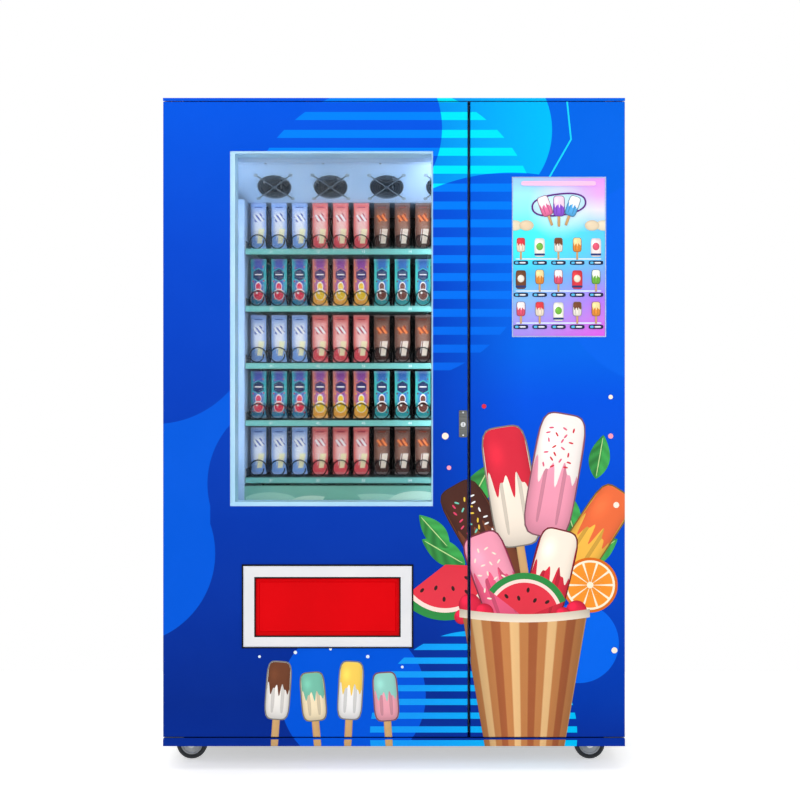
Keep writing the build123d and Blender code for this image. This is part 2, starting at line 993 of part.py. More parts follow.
def compressor():
    """A hermetic compressor: a domed can on a foot plate with two pipe stubs."""
    x = (cold_right + right - case_sheet) / 2
    y = case_front + machine_clear + compressor_foot / 2
    half = compressor_foot / 2
    z = chassis_high + foot_thick
    foot = block(x - half, x + half, y - half, y + half, chassis_high, z)
    can = rod(compressor_radius, (x, y, z), (x, y, z + compressor_height))
    can = chamfer(can.edges().sort_by(Axis.Z)[-1], compressor_dome)
    side = z + compressor_height / 2
    for way in (-1, 1):
        start = (x, y, side)
        end = (x + way * (compressor_radius + stub_length), y, side)
        can += rod(stub_radius, start, end)
    return foot + can


def control_box():
    """The electronics housing on the partition, and its lid."""
    y0 = case_front + control_setback
    y1 = y0 + control_depth
    z1 = cold_top - control_drop
    z0 = z1 - control_height
    x1 = cold_right + control_width
    case = block(cold_right, x1, y0, y1, z0, z1)
    case -= block(
        cold_right + cover_sheet,
        x1 + overrun,
        y0 + cover_sheet,
        y1 - cover_sheet,
        z0 + cover_sheet,
        z1 - cover_sheet,
    )
    lid = block(x1, x1 + control_lid, y0, y1, z0, z1)
    return case, lid


def power_inlet():
    """The recessed socket for the supply lead, low on the back."""
    x = right - case_sheet - inlet_inset
    area = (x - inlet_width, x, inlet_level - inlet_height / 2, inlet_level + inlet_height / 2)
    body = plate(area, case_rear, rear)
    return body - plate(grow(area, -inlet_mouth), case_rear + grille_sheet, rear + overrun)


# Casters
def caster_places():
    """Each caster's swivel axis, and the way its wheel trails."""
    rows = (caster_front, caster_rear)
    return [(x, y, way) for y in rows for x, way in ((caster_left, -1), (caster_right, 1))]


def caster_plate(x, y):
    """The top plate with its bearing race, and a kingpin with its nut."""
    low = chassis_low - plate_thick
    half, breadth = plate_length / 2, plate_breadth / 2
    top = block(x - half, x + half, y - breadth, y + breadth, low, chassis_low)
    crown_high = crown_low + crown_thick
    top += rod(race_radius, (x, y, crown_high + running_gap), (x, y, low))
    head_high = crown_low - running_gap
    top += rod(kingpin_radius, (x, y, head_high), (x, y, low))
    nut = extrude(RegularPolygon(kingpin_head, 6), amount=kingpin_head_thick)
    return top + Pos(x, y, head_high - kingpin_head_thick) * nut


def caster_fork(x, y, way):
    """The crown, two leaning legs and the axle bolt."""
    crown_high = crown_low + crown_thick
    fork = Pos(0, 0, crown_low) * Cylinder(
        crown_radius, crown_thick, align=(Align.CENTER, Align.CENTER, Align.MIN)
    )
    tip = Pos(caster_trail, wheel_radius) * Circle(fork_end)
    inner_edge = (crown_radius - 2 * fork_sheet) * cos(pi / 4)
    top = Line((-inner_edge, crown_high), (inner_edge, crown_high))
    leg = make_hull(tip.edges() + top.edges())
    inside = wheel_width / 2 + fork_gap
    for y0 in (inside, -inside - fork_sheet):
        fork += Pos(0, y0 + fork_sheet, 0) * extrude(Plane.XZ * leg, amount=fork_sheet)
    reach = inside + fork_sheet
    centre = caster_trail, wheel_radius
    fork += rod(axle_radius, (centre[0], -reach, centre[1]), (centre[0], reach, centre[1]))
    head = Plane.XZ * Pos(*centre) * RegularPolygon(bolt_head, 6)
    for y0 in (-reach, reach + bolt_head_thick):
        fork += Pos(0, y0, 0) * extrude(head, amount=bolt_head_thick)
    fork -= Pos(0, 0, crown_low - overrun) * Cylinder(
        kingpin_radius + pin_fit,
        crown_thick + 2 * overrun,
        align=(Align.CENTER, Align.CENTER, Align.MIN),
    )
    if way < 0:
        fork = mirror(fork, about=Plane.YZ)
    return Pos(x, y, 0) * fork


def caster_wheel(x, y, way):
    """A tyre on a narrower hub with a boss and a plain bore."""
    tyre = Cylinder(wheel_radius, wheel_width)
    tyre = chamfer(tyre.edges().filter_by(GeomType.CIRCLE), tyre_bevel)
    rim = wheel_radius - tyre_depth
    tyre -= Cylinder(rim, wheel_width)
    hub = Cylinder(rim, hub_width)
    hub += Cylinder(hub_boss, wheel_width + 2 * (fork_gap - running_gap))
    hub -= Cylinder(axle_radius + pin_fit, wheel_width + 2 * fork_gap)
    place = Pos(x + way * caster_trail, y, wheel_radius) * Rot(90, 0, 0)
    return place * tyre, place * hub


save("cabinet_shell", cabinet_shell())
save("rear_grille", rear_grille())
save("roof_cap", roof_cap())
save("kick_strip", kick_strip())
save("base_frame", base_frame())
save("cold_box", cold_box())

save("left_door_skin", left_door_skin())
save("left_door_core", left_door_core(), *pivot_bushes(pivots[0]))
save("door_seal", door_seal())
save("window_frame", window_frame())
save("window_glass", *window_glass())
save("pickup_frame", pickup_frame())
save("pickup_flap", pickup_flap())
save("lock_plate", lock_plate())
save("lock_barrel", *lock_barrel())
save("door_hinges", *door_hinges(), lock_keeper())
save("right_door_skin", right_door_skin())
save("right_door_core", right_door_core(), *pivot_bushes(pivots[1]))
save("screen_bezel", screen_bezel())
save("screen_panel", screen_panel())

save("inner_covers", fan_cover(), side_duct())
save("evaporator", evaporator())
save("tray_rails", *tray_rails())
save("delivery_bin", delivery_bin())
places = [fan_plane(x) for x in fan_centres]
save("fan_frames", *[p * fan_body() for p in places], *[p * fan_guard() for p in places])
for k, place in enumerate(places, 1):
    save(f"fan_{k}", place * fan_rotor())

for k, floor in enumerate(tray_floors, 1):
    save(f"tray_{k}", tray(floor), price_strip(floor))
coil = spiral()
for k, x in enumerate(lane_centres, 1):
    save(f"spiral_{k}", Pos(x, 0, coil_level(top_floor)) * coil)
bag = pack()
for k, floor in enumerate(tray_floors[1:], 2):
    z = floor + running_gap
    y = tray_front + pack_setback
    save(f"packs_{k}", *[Pos(x, y, z) * bag for x in lane_centres])

save("condenser", condenser())
save("compressor", compressor())
save("control_box", *control_box())
save("power_inlet", power_inlet())

save("caster_plates", *[caster_plate(x, y) for x, y, way in caster_places()])
for k, spot in enumerate(caster_places(), 1):
    save(f"caster_fork_{k}", caster_fork(*spot))
    save(f"caster_wheel_{k}", *caster_wheel(*spot))

print(f"spiral: {coil_turns} curls each, least gap to itself {coil_self_gap():.1f} mm")
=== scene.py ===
"""The looks of a two-door vending machine for frozen snacks: the printed doors, the packs in
their spirals, the lit cold space, the display and the casters. Shapes are in millimetres, and
colours are written from 0 to 255."""

import math

import bmesh
import bpy
import numpy as np
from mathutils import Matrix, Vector


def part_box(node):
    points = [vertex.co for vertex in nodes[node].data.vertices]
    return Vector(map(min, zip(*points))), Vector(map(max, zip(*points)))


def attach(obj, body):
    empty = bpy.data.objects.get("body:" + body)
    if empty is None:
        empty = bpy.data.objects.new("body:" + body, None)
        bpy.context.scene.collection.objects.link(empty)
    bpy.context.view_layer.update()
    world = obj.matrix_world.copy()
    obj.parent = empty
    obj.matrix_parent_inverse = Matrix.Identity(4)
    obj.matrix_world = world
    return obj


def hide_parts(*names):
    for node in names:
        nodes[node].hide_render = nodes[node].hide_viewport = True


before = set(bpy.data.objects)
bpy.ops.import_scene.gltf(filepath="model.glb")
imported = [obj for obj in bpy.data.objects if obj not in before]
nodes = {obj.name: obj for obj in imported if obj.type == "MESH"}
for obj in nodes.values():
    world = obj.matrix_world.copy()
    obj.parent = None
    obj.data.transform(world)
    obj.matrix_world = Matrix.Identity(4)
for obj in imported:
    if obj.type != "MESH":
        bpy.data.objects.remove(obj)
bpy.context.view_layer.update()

MM = 0.001
TURN = 2 * math.pi


def extent(name):
    """A node's lowest and highest corner."""
    low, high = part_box(name)
    return np.array(low) / MM, np.array(high) / MM


def middle(name):
    """The middle of a node's box."""
    low, high = extent(name)
    return (low + high) / 2


def front_area(name, margin=0.0, rise=None):
    """A node's outline seen from the front: x0, x1, z0, z1, drawn in by a margin, and by a
    second one above and below where that is given."""
    low, high = extent(name)
    rise = margin if rise is None else rise
    return low[0] + margin, high[0] - margin, low[2] + rise, high[2] - rise


# Places that the frame gives
door_face = extent("left_door_skin")[0][1]
case_low, case_high = extent("cabinet_shell")
tray_boxes = [extent(f"tray_{k}") for k in range(1, 6)]
tray_step = tray_boxes[0][0][2] - tray_boxes[1][0][2]
lane_x = [middle(f"spiral_{k}")[0] for k in range(1, 10)]

# The spiral, as the solids have it
wire = 1.8
coil_radius = 23.5
coil_turns = 6
coil_pitch = 80.0
coupler_thick = 3.0
coil_front = extent("spiral_1")[0][1] + wire
coil_rear = coil_front + coil_turns * coil_pitch
coil_end = extent("spiral_1")[1][1]
coil_axis = middle("spiral_1")[2]
tray_floor = coil_axis - coil_radius - wire - 0.5
pack_plane = coil_front + coil_pitch


# Colours and shader nodes
def srgb(red, green, blue):
    """A colour written from 0 to 255, as the linear values that a shader takes: each share is
    raised to the power 2.4 above a small straight stretch."""
    share = np.array([red, green, blue]) / 255
    linear = np.where(share <= 0.04045, share / 12.92, ((share + 0.055) / 1.055) ** 2.4)
    return (*linear.tolist(), 1.0)


def fill(tree, socket, value):
    """Puts a constant in a socket, or links another socket to it."""
    if isinstance(value, bpy.types.NodeSocket):
        tree.links.new(value, socket)
    elif value is not None:
        socket.default_value = value


def node(tree, kind, inputs=None, **settings):
    """A shader node of a kind, with its settings and its inputs by name or number."""
    made = tree.nodes.new("ShaderNode" + kind)
    for key, value in settings.items():
        setattr(made, key, value)
    for key, value in (inputs or {}).items():
        fill(tree, made.inputs[key], value)
    return made


def calc(tree, operation, *values, clamp=False):
    """One Math node of up to three values."""
    made = node(tree, "Math", dict(enumerate(values)), operation=operation, use_clamp=clamp)
    return made.outputs[0]


def both(tree, first, *others):
    """The product of some values or masks."""
    for other in others:
        first = calc(tree, "MULTIPLY", first, other)
    return first


def rising(tree, value, low, high):
    """A value's share of the way from low to high, held between 0 and 1."""
    return node(tree, "MapRange", {0: value, 1: low, 2: high}).outputs[0]


def place(tree, operation, *values):
    """One Vector Math node of two values."""
    return node(tree, "VectorMath", dict(enumerate(values)), operation=operation).outputs


def paint(tree, mask, below, above):
    """One colour laid over another where the mask is 1. A colour may be written as a tuple."""
    below, above = (srgb(*c) if isinstance(c, tuple) else c for c in (below, above))
    return node(tree, "Mix", {0: mask, 6: below, 7: above}, data_type="RGBA").outputs[2]


def ramp(tree, value, low, high, stops, steps="LINEAR"):
    """Colours along a value: each stop is a place between low and high and its colour."""
    made = node(tree, "ValToRGB", {0: rising(tree, value, low, high)})
    made.color_ramp.interpolation = steps
    band = made.color_ramp.elements
    while len(band) < len(stops):
        band.new(0.5)
    for element, (spot, colour) in zip(band, stops):
        element.position = (spot - low) / (high - low)
        element.color = srgb(*colour)
    return made.outputs[0]


def front_places(tree, point):
    """A point on the front's plane in millimetres, and its places across and up."""
    flat = place(tree, "MULTIPLY", point, (1 / MM, 0, 1 / MM))[0]
    split = node(tree, "SeparateXYZ", {0: flat}).outputs
    return flat, split[0], split[2]


def group(name, inputs, outputs):
    """An empty node group with named sockets, and its inner ends."""
    tree = bpy.data.node_groups.new(name, "ShaderNodeTree")
    for way, sockets in (("INPUT", inputs), ("OUTPUT", outputs)):
        for title, kind in sockets.items():
            tree.interface.new_socket(title, in_out=way, socket_type="NodeSocket" + kind)
    enter = tree.nodes.new("NodeGroupInput")
    leave = tree.nodes.new("NodeGroupOutput")
    return tree, enter.outputs, leave.inputs


def use(tree, inner, **inputs):
    """A node group placed in a tree: an input's blank is written as an underscore."""
    made = tree.nodes.new("ShaderNodeGroup")
    made.node_tree = inner
    for key, value in inputs.items():
        fill(tree, made.inputs[key.replace("_", " ")], value)
    return made.outputs


def finish_group():
    """Uneven colour and gloss: broad noise mixes two colours, finer noise moves the roughness
    and gives a height for the bump."""
    inputs = {"Point": "Vector", "Colour": "Color", "Second Colour": "Color", "Patch": "Float",
              "Grain": "Float", "Roughness": "Float", "Spread": "Float"}
    outputs = {"Colour": "Color", "Roughness": "Float", "Height": "Float"}
    tree, enter, leave = group("uneven finish", inputs, outputs)
    broad, fine = (node(tree, "TexNoise", {"Vector": enter["Point"], "Scale": enter[size], "Detail": detail})
                   for size, detail in (("Patch", 3.0), ("Grain", 2.0)))
    share = rising(tree, broad.outputs[0], 0.35, 0.65)
    swing = both(tree, calc(tree, "SUBTRACT", fine.outputs[0], 0.5), enter["Spread"])
    fill(tree, leave["Colour"], paint(tree, share, enter["Colour"], enter["Second Colour"]))
    fill(tree, leave["Roughness"], calc(tree, "ADD", enter["Roughness"], swing, clamp=True))
    fill(tree, leave["Height"], fine.outputs[0])
    return tree


def disc_group():
    """A disc's mask: 1 where the distance to the centre is under the radius, over a soft edge."""
    inputs = {"Point": "Vector", "Centre": "Vector", "Radius": "Float", "Edge": "Float"}
    tree, enter, leave = group("disc", inputs, {"Mask": "Float"})
    away = place(tree, "DISTANCE", enter["Point"], enter["Centre"])["Value"]
    inside = calc(tree, "DIVIDE", calc(tree, "SUBTRACT", enter["Radius"], away), enter["Edge"])
    fill(tree, leave["Mask"], calc(tree, "ADD", inside, 0.5, clamp=True))
    return tree


def stripes_group():
    """Level stripes: the height is wrapped about the nearest stripe's middle, and the mask is 1
    within half a stripe of it."""
    inputs = {"Level": "Float", "First": "Float", "Half Pitch": "Float", "Half Stripe": "Float"}
    tree, enter, leave = group("level stripes", inputs, {"Mask": "Float"})
    low = calc(tree, "MULTIPLY", enter["Half Pitch"], -1.0)
    apart = calc(tree, "SUBTRACT", enter["Level"], enter["First"])
    off = calc(tree, "ABSOLUTE", calc(tree, "WRAP", apart, enter["Half Pitch"], low))
    inside = calc(tree, "SUBTRACT", enter["Half Stripe"], off)
    fill(tree, leave["Mask"], calc(tree, "ADD", inside, 0.5, clamp=True))
    return tree


finish = finish_group()
disc = disc_group()
stripes = stripes_group()


def new_material():
    """A material with a Principled shader, its tree and its Object coordinates."""
    made = bpy.data.materials.new("finish")
    made.use_nodes = True
    tree = made.node_tree
    return made, tree, tree.nodes["Principled BSDF"], node(tree, "TexCoord").outputs["Object"]


def coat(colour, second, rough=0.4, spread=0.15, patch=6.0, grain=220.0, bump=0.05,
         stretch=(1, 1, 1), paint_over=None, **shader_values):
    """A material with the uneven finish. paint_over may lay a print over its colour, and with an
    emission strength it shines in that colour."""
    made, tree, shader, point = new_material()
    spread_point = node(tree, "Mapping", {"Vector": point, "Scale": stretch}).outputs[0]
    worn = use(tree, finish, Point=spread_point, Colour=srgb(*colour), Second_Colour=srgb(*second),
               Patch=patch, Grain=grain, Roughness=rough, Spread=spread)
    shade = paint_over(tree, point, worn["Colour"]) if paint_over else worn["Colour"]
    fill(tree, shader.inputs["Base Color"], shade)
    fill(tree, shader.inputs["Roughness"], worn["Roughness"])
    if bump:
        bumps = node(tree, "Bump", {"Strength": bump, "Distance": 0.001, "Height": worn["Height"]})
        fill(tree, shader.inputs["Normal"], bumps.outputs[0])
    if "Emission_Strength" in shader_values:
        fill(tree, shader.inputs["Emission Color"], shade)
    for key, value in shader_values.items():
        shader.inputs[key.replace("_", " ")].default_value = value
    return made


# The print on the doors and on the strip under them
NAVY = (8, 46, 146)
DOOR_SPAN = (70, 1946)
LEFT_GROUND = [(90, NAVY), (200, (8, 44, 141)), (490, (8, 52, 161)), (1220, (5, 66, 194)),
               (1510, (5, 72, 206)), (1915, (3, 87, 228))]
RIGHT_GROUND = [(100, (8, 50, 158)), (200, (5, 58, 172)), (1075, (6, 85, 229)),
                (1220, (5, 102, 233)), (1890, (5, 102, 230))]
STRIPE_BLUES = [(1160, (7, 100, 232)), (1500, (4, 122, 250)), (1900, (0, 130, 255))]
LIGHT_BLUES = [(120, (4, 146, 238)), (290, (3, 172, 246)), (450, (2, 190, 250))]


def door_print_group():
    """Blue grounds that darken downwards, with striped discs, plain discs and soft fields. A
    disc is a place in X and Z and a radius, and a field is what some discs leave of another."""
    tree, enter, leave = group("door print", {"Point": "Vector"}, {"Colour": "Color"})
    flat, across, up = front_places(tree, enter["Point"])

    def spot(x, z, radius, edge=1.2):
        """1 inside a disc."""
        return use(tree, disc, Point=flat, Centre=(x, 0, z), Radius=radius, Edge=edge)["Mask"]

    def without(*place_and_radius):
        """1 outside a disc."""
        return calc(tree, "SUBTRACT", 1.0, spot(*place_and_radius))

    def rows(first, half_pitch, half_stripe):
        """1 inside level stripes, counted from the middle of the first."""
        return use(tree, stripes, Level=up, First=first, Half_Pitch=half_pitch,
                   Half_Stripe=half_stripe)["Mask"]

    left, right = (ramp(tree, up, *DOOR_SPAN, stops) for stops in (LEFT_GROUND, RIGHT_GROUND))
    shade = paint(tree, rising(tree, across, 120, 380), left, right)

    upper = calc(tree, "GREATER_THAN", up, 891.0)
    side = calc(tree, "ADD", calc(tree, "MULTIPLY", upper, 63.0), -533.0)
    field = both(tree, without(-693, 1293.5, 289), without(-285, 831, 256),
                 calc(tree, "LESS_THAN", across, side), calc(tree, "GREATER_THAN", up, 700.0),
                 calc(tree, "LESS_THAN", up, 1300.0))
    light = calc(tree, "MAXIMUM", spot(-782.7, 629, 264), field)
    for mask, colour in ((spot(777, 1417, 296, 8), (10, 102, 237)), (light, (5, 92, 223)),
                         (spot(-119, 216, 211), (3, 89, 224)), (spot(536, 369, 116), (7, 105, 240))):
        shade = paint(tree, mask, shade, colour)

    high_rows = both(tree, rows(1897.6, 25.95, 11.65), spot(-9.6, 1556, 431.5), rising(tree, up, 1158, 1162))
    shade = paint(tree, high_rows, shade, ramp(tree, up, 1160, 1920, STRIPE_BLUES))
    blob = both(tree, without(-127.6, 1862.8, 267), without(341.3, 1142, 591.6), spot(220.4, 1857, 237.8))
    shade = paint(tree, blob, shade, ramp(tree, across, 110, 460, LIGHT_BLUES))
    shade = paint(tree, both(tree, high_rows, blob), shade, (0, 232, 250))
    low_rows = both(tree, rows(358.0, 19.95, 9.0), spot(230.8, 104, 300.5))
    low_stripe = paint(tree, rising(tree, across, 60, 420), (22, 160, 252), (0, 198, 255))
    fill(tree, leave["Colour"], paint(tree, low_rows, shade, low_stripe))
    return tree


door_print = door_print_group()


def lay_door_print(tree, point, worn):
    """The door print, with the finish's colour mixed in faintly as unevenness of the ink."""
    return paint(tree, 0.04, use(tree, door_print, Point=point)["Colour"], worn)


# The print on the packs: six designs side by side along the map's first coordinate
PACK_TOPS = [(238, 241, 252), (255, 198, 190), (148, 104, 86), (86, 96, 196), (160, 84, 170), (62, 120, 200)]
PACK_EDGES = [(150, 188, 246), (246, 114, 110), (106, 68, 56), (66, 212, 208), (250, 146, 104),
              (80, 224, 204)]
PACK_FEET = [(136, 180, 242), (238, 84, 94), (66, 36, 28), (46, 132, 170), (252, 176, 68), (36, 158, 160)]
PACK_PLATES = [(66, 92, 184), (204, 58, 84), (150, 52, 26), (38, 42, 92), (56, 42, 106), (32, 52, 100)]
PACK_BARS = [(255, 250, 206), (255, 236, 190), (240, 222, 202), (248, 48, 80), (255, 208, 38), (122, 62, 48)]
PACK_SPLASHES = [(255, 255, 255), (255, 244, 240), (246, 132, 66)] + [(255, 255, 255)] * 3
PACK_PALE = (255, 250, 240)
PACK_SIZE = (50.0, 146.0)
SPLASH_DISCS = [(25, 98, 13.0, 1.5), (14, 103, 7, 1.3), (36, 93, 8, 1.4), (31, 107, 6, 1.0), (17, 90, 5, 1.0)]
ROW_SHADE = (-0.106, -0.096)
PACK_DOTS = [(8, 76, 2.6), (42, 78, 2.2), (11, 118, 1.8), (40, 121, 2.2), (9, 22, 2.4), (42, 18, 2.6)]


def wrapper_print_group():
    """From a pack's map: the whole part of half the first coordinate picks the design, and the
    rest is the place across the bag. The first three designs have a wavy foot, a splash of discs
    and a leaning bar; the others have a saw-edged foot, a six-sided plate, discs and dots."""
    tree, enter, leave = group("wrapper print", {"Map": "Vector"}, {"Colour": "Color"})
    split = node(tree, "SeparateXYZ", {0: enter["Map"]}).outputs
    design = calc(tree, "FLOOR", both(tree, split[0], 0.5))
    across = both(tree, calc(tree, "FRACT", split[0]), PACK_SIZE[0])
    up = both(tree, split[1], PACK_SIZE[1])
    spot = node(tree, "CombineXYZ", {0: across, 2: up}).outputs[0]
    plain = calc(tree, "LESS_THAN", design, 2.5)
    rich = calc(tree, "SUBTRACT", 1.0, plain)

    def pick(colours):
        """The design's own colour from a list of six."""
        stops = [(max(0.0, k - 0.5), colour) for k, colour in enumerate(colours)]
        return ramp(tree, design, 0, len(colours), stops, "CONSTANT")

    def far(value, from_here):
        """The distance of a value from another."""
        return calc(tree, "ABSOLUTE", calc(tree, "SUBTRACT", value, from_here))

    def under(value, high):
        """1 where a value is under a height by one millimetre or more, and 0 above it."""
        return calc(tree, "SUBTRACT", high, value, clamp=True)

    def round_spot(x, z, radius, squash=1.0):
        """A disc on the map, flattened by squash."""
        flat = place(tree, "MULTIPLY", spot, (1, 1, squash))[0]
        return use(tree, disc, Point=flat, Centre=(x, 0, z * squash), Radius=radius, Edge=0.8)["Mask"]

    def block(x, z, half_x, half_z, lean=0.0):
        """A bar about a spot, sheared sideways by a lean."""
        shear = both(tree, calc(tree, "SUBTRACT", up, z), lean)
        beside = far(calc(tree, "SUBTRACT", across, shear), x)
        return both(tree, under(beside, half_x), under(far(up, z), half_z))

    edges, plates, bars = pick(PACK_EDGES), pick(PACK_PLATES), pick(PACK_BARS)
    away = far(across, PACK_SIZE[0] / 2)
    head = both(tree, rising(tree, up, 108.0, 134.0), plain)
    side = calc(tree, "MAXIMUM", rising(tree, away, 10.0, 24.0), head)
    wave = both(tree, calc(tree, "SINE", both(tree, across, 0.16)), 7.0)
    saw = both(tree, calc(tree, "PINGPONG", across, 4.2), 2.4)
    foot = under(up, calc(tree, "ADD", paint(tree, plain, saw, wave), 40.0))
    splash = round_spot(*SPLASH_DISCS[0])
    for spread in SPLASH_DISCS[1:]:
        splash = calc(tree, "MAXIMUM", splash, round_spot(*spread))
    curls = calc(tree, "SINE", calc(tree, "ADD", both(tree, across, 0.4), both(tree, up, 0.3)))
    curls = both(tree, rising(tree, curls, 0.1, 0.5), splash)
    slope = calc(tree, "ADD", both(tree, away, 0.5), both(tree, far(up, 96.0), 0.866))
    hexagon = calc(tree, "MAXIMUM", away, slope)

    shade = paint(tree, side, pick(PACK_TOPS), edges)
    shade = paint(tree, foot, shade, pick(PACK_FEET))
    layers = [(plain, splash, pick(PACK_SPLASHES)), (plain, curls, plates),
              (plain, block(32, 42, 9.5, 23, 0.14), bars), (plain, block(19, 46, 1.3, 19, 0.14), PACK_PALE),
              (rich, under(hexagon, 19.5), edges), (rich, under(hexagon, 17.5), plates),
              (rich, block(25, 97, 12, 2.4), PACK_PALE), (rich, round_spot(25, 60, 10.0, 0.7), PACK_PALE),
              (rich, round_spot(25, 59, 8.0, 0.7), bars), (rich, round_spot(25, 35, 18.0), PACK_PALE),
              (rich, round_spot(25, 34, 15.5), bars), (rich, round_spot(20, 40, 3.6), PACK_PALE),
              (plain, block(25, 132, 13, 2.2), plates)]
    layers += [(rich, round_spot(*dot), bars) for dot in PACK_DOTS]
    for kind, mask, colour in layers:
        shade = paint(tree, both(tree, mask, kind), shade, colour)
    ends = calc(tree, "SUBTRACT", far(up, PACK_SIZE[1] / 2), 66.0, clamp=True)
    comb = calc(tree, "GREATER_THAN", calc(tree, "SINE", both(tree, across, 4.0)), 0.0)
    fill(tree, leave["Colour"], paint(tree, both(tree, ends, both(tree, comb, 0.25)), shade, (240, 240, 240)))
    return tree


wrapper_print = wrapper_print_group()


def lay_wrapper_print(tree, point, worn):
    """The print by the bag's own map, with the finish's uneven colour mixed in faintly. Painted
    shade: the bags behind the first row turn near black, by depth in metres."""
    mapped = node(tree, "UVMap", uv_map="map").outputs[0]
    shade = paint(tree, 0.015, use(tree, wrapper_print, Map=mapped)["Colour"], worn)
    deep = node(tree, "SeparateXYZ", {0: point}).outputs[1]
    return paint(tree, rising(tree, deep, *ROW_SHADE), shade, (8, 8, 11))


# The inner walls of the cold space by axis, in metres
INNER_WALLS = [(0, -0.603, 0.218), (2, 0.209, 1.883), (1, -1.0, 0.348)]
DEEP_SHADE = (-0.16, -0.08)


def lay_deep_shade(tree, point, worn):
    """Painted shade: the liner turns near black behind the goods, by depth, and only between
    the inner walls.
    """
    split = node(tree, "SeparateXYZ", {0: point}).outputs
    mask = rising(tree, split[1], *DEEP_SHADE)
    for axis, low, high in INNER_WALLS:
        mask = both(tree, mask, calc(tree, "GREATER_THAN", split[axis], low),
                    calc(tree, "LESS_THAN", split[axis], high))
    return paint(tree, mask, worn, (14, 17, 22))


def lay_ink(tree, point, worn):
    """A print shape's own colours, from its points."""
    ink = node(tree, "Attribute", attribute_name="ink").outputs["Color"]
    return paint(tree, 0.012, ink, worn)


DISPLAY_SPAN = (1256, 1722)
DISPLAY_LEFT = [(1262, (156, 126, 220)), (1312, (147, 149, 230)), (1364, (122, 174, 232)),
                (1436, (60, 180, 234)), (1500, (40, 226, 242)), (1560, (50, 232, 244)),
                (1625, (132, 238, 246)), (1668, (150, 230, 246)), (1706, (146, 200, 232))]
DISPLAY_RIGHT = [(1262, (206, 80, 216)), (1312, (188, 112, 220)), (1364, (166, 108, 226)),
                 (1436, (122, 152, 236)), (1500, (84, 186, 238)), (1560, (74, 200, 240)),
                 (1625, (222, 216, 236)), (1668, (220, 164, 234)), (1706, (220, 146, 236))]


def lay_display_sky(tree, point, worn):
    """The display's ground: a sky that turns from blue through cyan to violet as it goes down,
    pinker to the right, with a pale glow in its upper half."""
    flat, across, up = front_places(tree, point)
    left, right = (ramp(tree, up, *DISPLAY_SPAN, stops) for stops in (DISPLAY_LEFT, DISPLAY_RIGHT))
    shade = paint(tree, rising(tree, across, 390.0, 590.0), left, right)
    glow = use(tree, disc, Point=flat, Centre=(478.0, 0, 1628.0), Radius=46.0, Edge=90.0)["Mask"]
    shade = paint(tree, both(tree, glow, 0.5), shade, (250, 250, 255))
    return paint(tree, 0.03, shade, worn)


